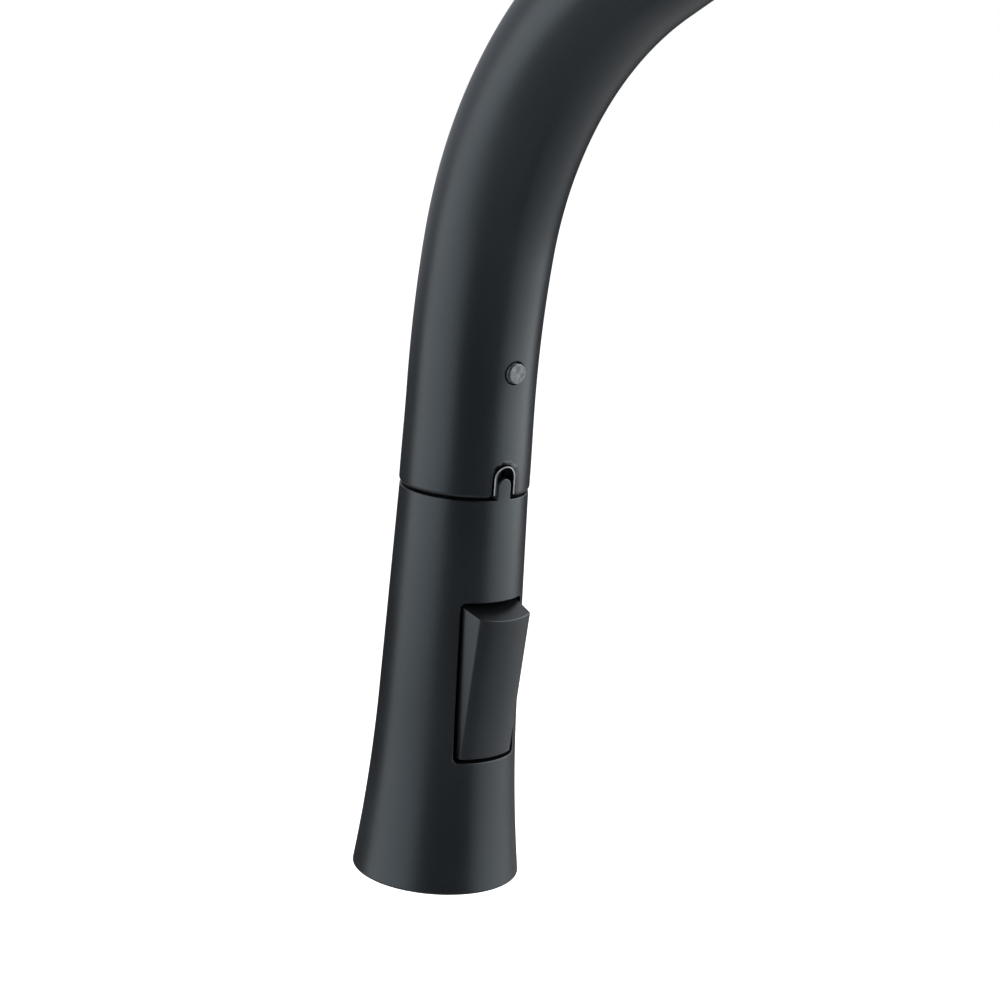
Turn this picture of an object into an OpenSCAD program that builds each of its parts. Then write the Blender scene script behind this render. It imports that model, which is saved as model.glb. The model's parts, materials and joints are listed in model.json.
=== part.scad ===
// Pull-down kitchen faucet: a gooseneck spout with a docked spray head, on a single-lever body.
// The deck plane is z = 0 and the body's axis is the Z axis. The spout reaches along -X,
// and the lever is on the -Y side. All sizes are in millimetres.

/* [Spout] */
// Outer radius of the neck tube
neck_r = 16.2; // [15:0.1:18]
// Outer radius of the neck tube at its mouth
mouth_r = 16.5; // [15:0.1:18]
// Wall of the neck tube
neck_wall = 1.6; // [1:0.1:1.8]
// Height at which the upright leg starts to bend
leg_top_z = 342; // [260:1:420]
// Radius of the main bend, on the tube's centreline
bend_r = 104; // [85:1:130]
// Straight run between the two halves of the main bend
crest_run = 22; // [10:1:40]
// Angle of the straight run from the vertical
crest_angle = 65; // [40:1:100]
// Radius of the gentle lead-in bend behind the mouth
lead_r = 265; // [200:1:400]
// Angle that the lead-in bend turns through
lead_angle = 8; // [4:0.5:12]
// Tilt of the mouth from the vertical
mouth_tilt = 6.7; // [0:0.1:12]
// Straight length of tube above the mouth
mouth_straight = 24; // [20:0.5:30]
// Rounding of the tube's edge at the mouth
mouth_round = 1; // [0.4:0.1:1.2]
// Width of the arched notch in the mouth
notch_w = 7.2; // [6:0.1:9]
// Height of the arched notch in the mouth
notch_h = 8.4; // [6:0.1:10]

/* [Dock] */
// Length of the docking sleeve in the mouth
sleeve_len = 38; // [36:0.5:44]
// Gap between the neck's notch and the rim of the sleeve that lines it
notch_gap = 0.3; // [0.2:0.05:0.5]
// Step from the edge of the neck's notch to the edge of the sleeve's slot
sleeve_lip = 0.85; // [0.6:0.05:1]
// Height of the snap button above the mouth
button_z = 31.5; // [30.5:0.1:32]
// Radius of the snap button
button_r = 2.55; // [2:0.05:3]
// Dark gap round the snap button
button_gap = 0.35; // [0.2:0.05:0.5]
// How far the button stands proud of the neck
button_proud = 1; // [0.6:0.1:1.4]
// How far the button can be pushed in
button_travel = 1.6; // [1:0.1:2]

/* [Spray head] */
// Seam between the neck and the docked head
seam_gap = 0.8; // [0.6:0.1:2]
// Distance from the mouth to the head's rim
head_drop = 102.5; // [98:0.1:112]
// Distance from the mouth to where the flare starts
flare_from = 55; // [45:1:62]
// Radius of the head where the flare starts
waist_r = 17.75; // [17:0.05:19]
// Radius of the head's rim
rim_r = 21.6; // [21:0.1:23]
// Wall of the head's shell
head_wall = 2; // [1.6:0.1:2.4]
// Rounding of the rim
rim_round = 0.6; // [0.4:0.1:1.8]
// Width of the docking tab
tab_w = 3.7; // [3:0.1:4.5]
// Height of the docking tab above the head's top edge
tab_h = 5.7; // [3:0.1:6.5]

/* [Rocker] */
// Distance from the mouth to the rocker window's upper edge
window_top = 26.8; // [24:0.1:30]
// Length of the rocker window
window_len = 41.5; // [38:0.1:44]
// Width of the rocker window
window_w = 19.5; // [17:0.1:20]
// Corner radius of the rocker window
window_corner = 1.2; // [0.6:0.1:2]
// Width of the paddle
paddle_w = 16.4; // [14:0.1:18.5]
// Gap between the paddle's lower end and the window
paddle_gap = 0.9; // [0.4:0.05:1.2]
// How far the paddle's crest stands proud at rest
crest_proud = 4.8; // [4:0.1:7]
// Distance from the mouth to the paddle's crest
crest_drop = 30.1; // [29:0.1:32]
// Distance from the head's axis to the rocker's pin
pivot_x = 8.5; // [8:0.1:9]
// Angle through which the rocker tips
rocker_swing = 15.5; // [12:0.1:17]
// Radius of the rocker's pin
pin_r = 1.25; // [1:0.05:1.5]

/* [Spray face] */
// Radius of the inner ring of nozzles
nozzle_ring_in = 11; // [10.5:0.1:12]
// Radius of the outer ring of nozzles
nozzle_ring_out = 14.8; // [14:0.1:15.4]
// Radius of the aerator cup
aerator_r = 8.2; // [7:0.1:8.6]

/* [Hose] */
// Outer radius of the spray hose
hose_r = 6; // [5:0.1:6.2]
// Wall of the spray hose
hose_wall = 2; // [1.5:0.1:2.5]
// How far the hose steps aside below the swivel
hose_offset = 8; // [7:0.1:8.2]
// Height of the hose's lower end
hose_end_z = -95; // [-120:1:-80]

/* [Body] */
// Radius of the body's foot
foot_r = 25; // [23:0.5:27]
// Radius of the body's upper part
column_r = 18; // [17.8:0.1:20]
// Height at which the body's flare ends
column_flare_z = 100; // [90:1:104]
// Height of the body's top face
column_top_z = 152; // [150:1:170]
// Depth of the swivel socket in the body's top
socket_depth = 40; // [39:0.5:44]
// Radius of the threaded inlet and outlet sockets
inlet_r = 3.8; // [3.4:0.1:4]

/* [Deck] */
// Radius of the base flange
flange_r = 27.5; // [27:0.5:32]
// Thickness of the base flange
flange_t = 4; // [3:0.5:6]
// Thickness of the deck that the faucet clamps
deck_t = 30; // [15:1:38]
// Outer radius of the threaded shank
shank_r = 16.4; // [16:0.1:17]
// Wall of the threaded shank
shank_wall = 1.65; // [1.4:0.05:1.9]
// Length of the shank below the deck
shank_len = 62; // [58:1:80]

/* [Lever] */
// Height of the cartridge's axis
lever_z = 82; // [76:1:88]
// Length of the side boss from the body's axis
boss_len = 46; // [44:0.5:50]
// Radius of the side boss and the bonnet
boss_r = 16.6; // [16.2:0.1:18]
// Length of the lever's handle
handle_len = 92; // [70:1:120]
// Angle by which the handle leans away from the body
handle_lean = 8; // [2:0.5:14]
// Radius of the handle where it leaves the hub
handle_r = 4.2; // [3.6:0.1:4.8]
// Radius of the handle's flared end
handle_end_r = 5.8; // [5:0.1:7]

/* [Hidden] */
$fn = 96;

// Clearances: a turning or sliding fit, a piece set in its seat, and two faces that pass.
run_fit = 0.06;
seat_fit = 0.1;
pass_gap = 0.25;
// A bent stretch of tube sits this far inside the straight one it runs into, over this lap.
bend_step = 0.05;
bend_lap = 0.3;
// How far a cut runs past the face it opens.
past = 1;

// The spout's path, from the body's axis back to the mouth.
lead_from = mouth_tilt + lead_angle;
reach = bend_r + crest_run * sin(crest_angle) + bend_r * cos(lead_from)
    + lead_r * (cos(mouth_tilt) - cos(lead_from)) + mouth_straight * sin(mouth_tilt);
mouth_z = leg_top_z - crest_run * cos(crest_angle) + bend_r * sin(lead_from)
    - lead_r * (sin(lead_from) - sin(mouth_tilt)) - mouth_straight * cos(mouth_tilt);
neck_bore = neck_r - neck_wall;

// Swivel, from the body's top face up to the foot of the neck.
washer_t = 1;
collar_t = 5;
washer_z = column_top_z + 0.15;
collar_z = washer_z + washer_t;
leg_z = collar_z + collar_t;
swivel_wall = 5;
swivel_depth = 38;
swivel_in_neck = 24;
swivel_r = neck_bore - 0.7;
socket_r = neck_bore;
swivel_groove_r = swivel_r - 0.9;
bearing_w = 6;
screw_r = 2.4;
hose_join_z = column_top_z - 2;

// Dock sleeve, measured along the mouth's axis.
sleeve_r = neck_bore - seat_fit;
sleeve_slim_r = sleeve_r - 0.6;
sleeve_slim_z = mouth_straight - 2;
sleeve_z = 0.5;
nut_r = sleeve_r - 2.5;
dock_bore = nut_r + 0.35;
nut_z = 2.45;
nut_cone_z = 14;
nut_top_z = 25;
nut_top_r = hose_r + 1.2;
hose_bore = nut_top_r + 0.4;
button_flange_r = button_r + 0.65;
button_flange_t = 1.6;
spring_seat_x = hose_bore + 1;
spring_shut = 1.9;
button_back_x = spring_seat_x + button_travel + spring_shut;

// Spray head, measured down from the mouth along its axis.
head_top_r = mouth_r - 0.2;
roof_t = 2.2;
taper_angle = atan((waist_r - head_top_r) / (flare_from - seam_gap));
flare_len = head_drop - flare_from;
flare_rise = rim_r - waist_r;
flare_R = (pow(flare_len, 2) + pow(flare_rise, 2))
    / (2 * (flare_rise * cos(taper_angle) - flare_len * sin(taper_angle)));
flare_steps = 16;
spigot_r = nut_r + 0.2;
thread_r = 9.3;
core_r = 13.7;
core_top = seam_gap + roof_t + 1.6;
plate_drop = head_drop - 12.4;
plate_r = 17.2;
spool_x = -2.5;
spool_r = 4.4;
groove_r = 2.4;
finger_x = 1.2;
finger_r = 1.15;
pivot_drop = window_top + window_len / 2;
pocket_x = 4.6;

// Rocker outline, as offsets from its pin: the lower end lies flush at rest, and the crest
// stands proud. The back reaches far enough in to fill the window at both ends of the swing.
end_reach = window_len / 2 - paddle_gap;
low_x = head_r(pivot_drop + end_reach) - pivot_x;
crest_x = head_r(crest_drop) + crest_proud - pivot_x;
crest_z = pivot_drop - crest_drop;
end_tilt = rocker_swing - 0.5;
end_line = crest_x * sin(end_tilt) + crest_z * cos(end_tilt);
face_angle = atan((crest_x - low_x) / (crest_z + end_reach));
back_top_x = 4;
back_low_x = 0.8;
hub_r = 3.4;
rest_tip = rocker_swing / 2;
spool_drop = pivot_drop - (pivot_x - finger_x) * sin(rest_tip);

// Body and lever.
column_flare_R = (pow(column_flare_z - flange_t, 2) + pow(foot_r - column_r, 2))
    / (2 * (foot_r - column_r));
shank_bore = shank_r - shank_wall;
shank_in = 12;
manifold_z = flange_t + 20;
inlet_depth = 12;
inlet_at = [[7.5, -6.5], [-7.5, -6.5], [0, -10.3]];
port_at = [[6, 0], [-6, 0], [0, -6]];
port_r = 1.9;
passage_r = 2;
chamber_w = 18;
chamber_r = boss_r - 2.5;
cartridge_r = chamber_r - seat_fit;
cavity_r = cartridge_r - 1.6;
cavity_w = chamber_w + 6;
disc_t = 4;
pivot_w = boss_len;
stem_r = 3.6;
ball_arm = 10.5;
ball_r = 2.5;
rotor_w = pivot_w - 8.8;
rotor_flange_t = 3.6;
rotor_r = 9.5;
nut_w = pivot_w - 5;
bonnet_wall = 1.4;
bonnet_hole_r = 12.3;
hub_bore = boss_r + 0.4;
hub_wall = 3.4;
hub_edge = 4.9;
hub_core_r = 6;
plug_r = 3.9;

module at_mouth() { translate([-reach, 0, mouth_z]) rotate([0, mouth_tilt, 0]) children(); }
module at_lever() { translate([0, 0, lever_z]) rotate([90, 0, 0]) children(); }
module at_pin() { at_mouth() translate([pivot_x, 0, -pivot_drop]) rotate([90, 0, 0]) children(); }

// A ring, or a disc if inner is 0, from z = low to z = high.
module ring(outer, inner, low, high) {
    translate([0, 0, low]) linear_extrude(high - low) difference() {
        circle(outer);
        if (inner > 0) circle(inner);
    }
}

// A cylinder along +X, from x = low to x = high.
module across(r, low, high) {
    translate([low, 0, 0]) rotate([0, 90, 0]) cylinder(r = r, h = high - low);
}

// Radius of the head's outer surface at a distance below the mouth.
function head_r(drop) = drop < flare_from
    ? head_top_r + (drop - seam_gap) * tan(taper_angle)
    : waist_r + flare_R * cos(taper_angle)
        - sqrt(pow(flare_R, 2) - pow(drop - flare_from + flare_R * sin(taper_angle), 2));

// Outline of the head between two drops, set in by a wall: [radius, height] pairs going down.
function head_side(from, to, inset) = concat(
    [[head_r(from) - inset, -from]],
    from < flare_from ? [[waist_r - inset, -flare_from]] : [],
    [for (i = [1:flare_steps])
        let (start = max(from, flare_from), drop = start + (to - start) * i / flare_steps)
        [head_r(drop) - inset, -drop]]);

function reversed(list) = [for (i = [len(list) - 1:-1:0]) list[i]];

// A quarter of a circle: points round a centre from one angle to another.
function corner(x, y, r, from, to) = [for (i = [0:6])
    let (a = from + (to - from) * i / 6) [x + r * cos(a), y + r * sin(a)]];

// ---------- Tube that follows the spout's path ----------

module wall_section(r, wall, inset) {
    difference() {
        circle(r - inset);
        circle(r - wall + inset);
    }
}

module bent(radius, from, turn, r, wall, inset) {
    lap = bend_lap / radius * 180 / PI;
    rotate([90, 0, 0]) rotate_extrude(start = from - lap, angle = turn + 2 * lap)
        translate([radius, 0]) wall_section(r, wall, inset);
}

// From the height z0 on the leg, over the crest, to up above the mouth, where its radius is end_r.
module spout_tube(r, wall, z0, up, end_r) {
    translate([0, 0, z0]) linear_extrude(leg_top_z - z0) wall_section(r, wall, 0);
    translate([-bend_r, 0, leg_top_z]) {
        bent(bend_r, 0, 180 - crest_angle, r, wall, 2 * bend_step);
        rotate([0, crest_angle, 0]) translate([-bend_r, 0, -crest_run])
            linear_extrude(crest_run) wall_section(r, wall, 0);
        translate([-crest_run * sin(crest_angle), 0, -crest_run * cos(crest_angle)]) {
            bent(bend_r, 180 - crest_angle, crest_angle - lead_from, r, wall, 2 * bend_step);
            rotate([0, lead_from, 0]) translate([lead_r - bend_r, 0, 0]) rotate([0, -lead_from, 0]) {
                bent(lead_r, 180 - lead_from, lead_angle, r, wall, bend_step);
                rotate([0, mouth_tilt, 0]) translate([-lead_r, 0, -mouth_straight])
                    rotate_extrude() polygon([
                        [r - wall, up], [end_r, up], [r, mouth_straight], [r - wall, mouth_straight]]);
            }
        }
    }
}

// An arch with a round top, as a cut from the mouth's axis outwards along +X.
module arch(width, height, from_x, to_x, low) {
    translate([from_x, 0, 0]) rotate([90, 0, 90]) linear_extrude(to_x - from_x) {
        translate([-width / 2, low]) square([width, height - width / 2 - low]);
        translate([0, height - width / 2]) circle(width / 2);
    }
}

// ---------- Neck and dock ----------

module neck_tube() {
    color("#2b2d31") difference() {
        spout_tube(neck_r, neck_wall, leg_z, 0, mouth_r);
        at_mouth() {
            arch(notch_w, notch_h, 0, mouth_r + past, -past);
            translate([0, 0, button_z]) across(button_r + button_gap, neck_bore - 2, neck_r + 2);
            rotate_extrude() difference() {
                translate([mouth_r - mouth_round, -past]) square([mouth_round + past, mouth_round + past]);
                translate([mouth_r - mouth_round, mouth_round]) circle(mouth_round);
            }
        }
    }
}

module dock_sleeve() {
    color("#b9bcbe") at_mouth() difference() {
        union() {
            rotate_extrude() polygon([
                [dock_bore, sleeve_z], [sleeve_r, sleeve_z], [sleeve_r, sleeve_slim_z],
                [sleeve_slim_r, sleeve_slim_z], [sleeve_slim_r, sleeve_len], [hose_bore, sleeve_len],
                [hose_bore, nut_top_z + seat_fit], [dock_bore, nut_cone_z + pass_gap]]);
            // A raised rim lines the neck's notch.
            intersection() {
                ring(mouth_r - 0.4, sleeve_r - 0.5, sleeve_z, notch_h);
                arch(notch_w - 2 * notch_gap, notch_h - notch_gap, 0, mouth_r, 0);
            }
        }
        arch(notch_w - 2 * sleeve_lip, notch_h - sleeve_lip, 0, neck_r, -past);
        translate([0, 0, button_z]) across(button_flange_r + run_fit, spring_seat_x, neck_r);
    }
}

module snap_button() {
    face_x = neck_r + button_proud;
    edge = 0.4;
    color("#9a9ca0") at_mouth() translate([0, 0, button_z]) rotate([0, 90, 0]) rotate_extrude() polygon([
        [0, button_back_x], [button_flange_r, button_back_x],
        [button_flange_r, button_back_x + button_flange_t], [button_r, button_back_x + button_flange_t],
        [button_r, face_x - edge], [button_r - edge, face_x], [0, face_x]]);
}

module button_spring() {
    color("silver") at_mouth() translate([0, 0, button_z]) difference() {
        across(button_r - 0.3, spring_seat_x + 0.1, button_back_x - 0.1);
        across(button_r - 0.8, spring_seat_x - past, button_back_x + past);
    }
}

// ---------- Hose ----------

module hose_upper() {
    color("#6f7276") spout_tube(hose_r, hose_wall, hose_join_z + 0.3, nut_cone_z - 0.6, hose_r);
}

module hose_lower() {
    radius = 60;
    turn = acos(1 - hose_offset / (2 * radius));
    half = radius * sin(turn);
    mid_z = (column_top_z - socket_depth + manifold_z) / 2 + 12;
    color("#6f7276") {
        translate([0, 0, mid_z + half])
            linear_extrude(hose_join_z - mid_z - half) wall_section(hose_r, hose_wall, 0);
        rotate([0, 0, 90]) {
            translate([radius, 0, mid_z + half])
                bent(radius, 180, turn, hose_r, hose_wall, bend_step);
            translate([hose_offset - radius, 0, mid_z - half])
                bent(radius, 0, turn, hose_r, hose_wall, 2 * bend_step);
        }
        translate([0, hose_offset, hose_end_z])
            linear_extrude(mid_z - half - hose_end_z) wall_section(hose_r, hose_wall, 0);
    }
}

module hose_coupling() {
    socket = 12;
    nut_h = 14;
    tail_h = 18;
    color("#c9b27a") translate([0, hose_offset, hose_end_z]) difference() {
        union() {
            ring(hose_r + 1.6, hose_r + seat_fit, 0, socket);
            translate([0, 0, -nut_h]) cylinder(r = hose_r + 3.4, h = nut_h, $fn = 6);
            ring(hose_r + 1.6, 0, -0.5, 0);
            ring(hose_r, 0, -nut_h - tail_h, -nut_h);
        }
        ring(hose_r - hose_wall, 0, -nut_h - tail_h - past, socket);
    }
}

// A copper tail that rises into one of the body's sockets, with a threaded end at its foot.
module supply_tail(i, foot_z) {
    tail_r = inlet_r - seat_fit;
    nut_h = 9;
    end_h = 12;
    color("#c07a4a") translate([inlet_at[i][0], inlet_at[i][1], 0]) difference() {
        union() {
            ring(tail_r, 0, foot_z + end_h, manifold_z + inlet_depth - seat_fit);
            translate([0, 0, foot_z + end_h]) cylinder(r = tail_r + 2.4, h = nut_h, $fn = 6);
            ring(tail_r + 1.2, 0, foot_z, foot_z + end_h);
        }
        ring(tail_r - 0.9, 0, foot_z - past, manifold_z + inlet_depth);
    }
}

module hot_tail() { supply_tail(0, -127); }

module cold_tail() { supply_tail(1, -112); }

module outlet_tail() {
    tail_r = inlet_r - seat_fit;
    foot_z = -90;
    color("#c9b27a") translate([inlet_at[2][0], inlet_at[2][1], 0]) difference() {
        union() {
            ring(tail_r, 0, foot_z, manifold_z + inlet_depth - seat_fit);
            ring(tail_r + 0.6, 0, foot_z + 16, foot_z + 20);
        }
        ring(tail_r - 0.9, 0, foot_z - past, manifold_z + inlet_depth);
        ring(tail_r + past, tail_r - 0.5, foot_z + 5, foot_z + 7);
    }
}

// ---------- Spray head ----------

module rocker_cut(from_x) {
    translate([from_x, 0, -pivot_drop]) rotate([90, 0, 90]) linear_extrude(rim_r + past - from_x) {
        square([window_w - 2 * window_corner, window_len], center = true);
        square([window_w, window_len - 2 * window_corner], center = true);
        for (sx = [-1, 1], sy = [-1, 1])
            translate([sx * (window_w / 2 - window_corner), sy * (window_len / 2 - window_corner)])
                circle(window_corner);
    }
}

module head_shell() {
    color("#2b2d31") at_mouth() difference() {
        union() {
            rotate_extrude() polygon(concat(
                [[spigot_r + seat_fit, -seam_gap], [head_top_r - 0.3, -seam_gap], [head_top_r, -seam_gap - 0.3]],
                head_side(seam_gap + 1, head_drop - rim_round, 0),
                corner(rim_r - rim_round, -head_drop + rim_round, rim_round, -10, -90),
                reversed(head_side(seam_gap + roof_t, head_drop, head_wall)),
                [[spigot_r + seat_fit, -seam_gap - roof_t]]));
            intersection() {
                ring(head_top_r, sleeve_r - 1.3, -seam_gap - roof_t / 2, tab_h);
                arch(tab_w, tab_h, 0, mouth_r, -seam_gap - roof_t);
            }
        }
        rocker_cut(pocket_x);
    }
}

module head_core() {
    block_w = window_w + 3.4;
    block_len = window_len + 4.4;
    color("#18191b") at_mouth() difference() {
        union() {
            ring(core_r, 0, -plate_drop + 5, -core_top);
            ring(plate_r, 0, -plate_drop, -plate_drop + 5);
            intersection() {
                translate([0, -block_w / 2, -pivot_drop - block_len / 2])
                    cube([rim_r, block_w, block_len]);
                rotate_extrude() polygon(concat([[0, -core_top]],
                    head_side(core_top, plate_drop, head_wall + seat_fit), [[0, -plate_drop]]));
            }
        }
        rocker_cut(pocket_x);
        translate([pivot_x, 0, -pivot_drop]) rotate([90, 0, 0])
            cylinder(r = pin_r + run_fit, h = 2 * rim_r, center = true);
        translate([spool_x, 0, 0]) {
            ring(spool_r + run_fit, 0, -pivot_drop - 13.5, -pivot_drop + 13.5);
            ring(3, 0, -plate_drop - past, -core_top + past);
        }
        translate([spool_x, -1.4, -pivot_drop - 3.4]) cube([pocket_x + past - spool_x, 2.8, 6.8]);
    }
}

module head_spigot() {
    color("#c9b27a") at_mouth() rotate_extrude() polygon([
        [4.1, -core_top + seat_fit], [core_r - 0.1, -core_top + seat_fit],
        [core_r - 0.1, -seam_gap - roof_t - seat_fit], [spigot_r, -seam_gap - roof_t - seat_fit],
        [spigot_r, nut_z - 0.1], [thread_r, nut_z - 0.1], [thread_r, 11], [4.1, 11]]);
}

module check_valve() {
    color("#2f6fb0") at_mouth() difference() {
        ring(4, 0, -2, 10);
        ring(2.4, 0, 1, 10 + past);
        ring(1.4, 0, -2 - past, 1 + past);
    }
}

module hose_nut() {
    color("#c4c7c9") at_mouth() rotate_extrude() polygon([
        [thread_r + seat_fit, nut_z], [nut_r, nut_z], [nut_r, nut_cone_z], [nut_top_r, nut_top_z],
        [hose_r + seat_fit, nut_top_z], [hose_r + seat_fit, nut_cone_z - 0.8],
        [thread_r + seat_fit, nut_cone_z - 0.8]]);
}

module hose_washer() {
    color("#202020") at_mouth() ring(thread_r - 0.1, 4.2, 11.05, nut_cone_z - 0.85);
}

// ---------- Rocker and diverter ----------

module rocker_paddle() {
    half_w = paddle_w / 2;
    face_r = head_r(pivot_drop);
    top_at = function (x) (end_line - x * sin(end_tilt)) / cos(end_tilt);
    color("#2b2d31") difference() {
        intersection() {
            at_pin() translate([0, 0, -half_w]) linear_extrude(2 * half_w) {
                polygon([
                    [low_x, -end_reach], [crest_x, crest_z],
                    [back_top_x, top_at(back_top_x)], [back_low_x, -end_reach]]);
                circle(hub_r);
            }
            // The face is curved across, with the head's own radius.
            at_mouth() translate([pivot_x + low_x, 0, -pivot_drop - end_reach])
                rotate([0, face_angle, 0]) translate([-face_r, 0, -rim_r])
                    cylinder(r = face_r, h = window_len + 2 * rim_r);
        }
        at_pin() cylinder(r = pin_r + run_fit, h = window_w, center = true);
    }
    color("#2b2d31") at_pin() rotate([0, 0, -rest_tip]) {
        difference() {
            rotate([0, -90, 0]) cylinder(r = 0.9, h = pivot_x - finger_x);
            cylinder(r = hub_r - 0.3, h = window_w, center = true);
        }
        translate([finger_x - pivot_x, 0, 0]) sphere(finger_r);
    }
}

module rocker_pin() {
    half_len = window_w / 2 + 1.5;
    color("silver") at_pin() translate([0, 0, -half_len]) cylinder(r = pin_r, h = 2 * half_len);
}

module diverter_spool() {
    seal_at = [-9, 9];
    color("#d8d8d2") at_mouth() translate([spool_x, 0, -spool_drop]) difference() {
        ring(spool_r, 0, -11, 11);
        ring(spool_r + past, groove_r, -finger_r - 0.12, finger_r + 0.12);
        for (z = seal_at) ring(spool_r + past, spool_r - 0.8, z - 0.7, z + 0.7);
    }
}

module spool_seals() {
    color("#202020") at_mouth() translate([spool_x, 0, -spool_drop])
        for (z = [-9, 9]) ring(spool_r, spool_r - 0.75, z - 0.6, z + 0.6);
}

// ---------- Spray face ----------

nozzle_rings = [[nozzle_ring_in, 14], [nozzle_ring_out, 20]];

module at_nozzles() {
    for (one = nozzle_rings, i = [1:one[1]])
        rotate([0, 0, i * 360 / one[1]]) translate([one[0], 0, 0]) children();
}

module flow_plate() {
    color("#d8d8d2") at_mouth() difference() {
        ring(plate_r, 0, -plate_drop - 3.4, -plate_drop - 0.1);
        for (i = [0:7]) rotate([0, 0, i * 45 + 22.5]) translate([12.5, 0, 0])
            ring(1.5, 0, -plate_drop - 3.4 - past, -plate_drop + past);
        ring(4, 0, -plate_drop - 3.4 - past, -plate_drop + past);
    }
}

module nozzle_mat() {
    color("#3a3c40") at_mouth() {
        difference() {
            ring(plate_r, aerator_r + seat_fit, -plate_drop - 6.4, -plate_drop - 3.5);
            at_nozzles() ring(0.45, 0, -plate_drop - 6.4 - past, -plate_drop - 3.5 + past);
        }
        at_nozzles() difference() {
            translate([0, 0, -plate_drop - 10.9]) cylinder(r1 = 0.7, r2 = 0.95, h = 4.6);
            ring(0.45, 0, -plate_drop - 10.9 - past, -plate_drop - 6);
        }
    }
}

module spray_plate() {
    color("#232427") at_mouth() difference() {
        ring(plate_r + 0.2, aerator_r + seat_fit, -plate_drop - 10, -plate_drop - 6.5);
        at_nozzles() ring(1.05, 0, -plate_drop - 10 - past, -plate_drop - 6.5 + past);
    }
}

module face_ring() {
    high = plate_drop + 7.4;
    low = plate_drop + 11.2;
    color("#8e9296") at_mouth() rotate_extrude() polygon(concat(
        [[plate_r + 0.3, -high]], head_side(high, low, head_wall + seat_fit), [[plate_r + 0.3, -low]]));
}

module aerator_cup() {
    color("#c4c7c9") at_mouth() difference() {
        ring(aerator_r, 0, -plate_drop - 10.8, -plate_drop - 3.5);
        ring(aerator_r - 1.6, 0, -plate_drop - 10.8 - past, -plate_drop - 5.5);
        ring(2.5, 0, -plate_drop - 6, -plate_drop - 3.5 + past);
    }
}

module aerator_mesh() {
    bar = 0.35;
    pitch = 1.5;
    mesh_r = aerator_r - 1.7;
    color("silver") at_mouth() translate([0, 0, -plate_drop - 10]) {
        ring(mesh_r, mesh_r - 0.5, 0, 0.6);
        intersection() {
            ring(mesh_r - 0.1, 0, 0, 0.6);
            union() for (i = [-4:4], turn = [0, 90])
                rotate([0, 0, turn]) translate([i * pitch - bar / 2, -mesh_r, 0])
                    cube([bar, 2 * mesh_r, turn > 0 ? 0.45 : 0.6]);
        }
    }
}

// ---------- Swivel ----------

module swivel_adapter() {
    low = column_top_z - swivel_depth;
    color("#c9b27a") difference() {
        union() {
            ring(swivel_r, 0, low, collar_z);
            ring(neck_bore - seat_fit, 0, collar_z, collar_z + swivel_in_neck);
        }
        ring(neck_bore - seat_fit - swivel_wall, 0, low - past, collar_z + swivel_in_neck + past);
        for (z = [low + 3, column_top_z - 10])
            ring(neck_r, swivel_groove_r, z, z + bearing_w);
        ring(neck_r, swivel_groove_r - 0.4, low + 14, low + 20);
        ring(neck_r, swivel_groove_r, low + 23, low + 25.6);
    }
}

module bearing_rings() {
    color("#e6e4da") for (z = [column_top_z - swivel_depth + 3, column_top_z - 10])
        ring(socket_r - run_fit, swivel_groove_r + seat_fit, z + 0.1, z + bearing_w - 0.1);
}

module friction_ring() {
    low = column_top_z - swivel_depth + 23;
    color("#202020") ring(socket_r - run_fit, swivel_groove_r + seat_fit, low + 0.1, low + 2.5);
}

module thrust_washer() {
    color("#e6e4da") ring(column_r - 0.8, swivel_r + seat_fit, washer_z, collar_z);
}

module spout_collar() {
    outer = column_r - 0.4;
    edge = 0.6;
    color("#2b2d31") rotate_extrude() polygon([
        [neck_bore, collar_z], [outer, collar_z], [outer, leg_z - edge], [outer - edge, leg_z],
        [neck_bore, leg_z]]);
}

module spout_screw() {
    z = column_top_z - swivel_depth + 17;
    color("silver") translate([0, 0, z]) difference() {
        across(screw_r, swivel_groove_r + 0.3, column_r - 0.4);
        translate([column_r - 2.4, 0, 0]) rotate([0, 90, 0]) cylinder(r = 1.3, h = 3, $fn = 6);
    }
}

// ---------- Body ----------

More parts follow.
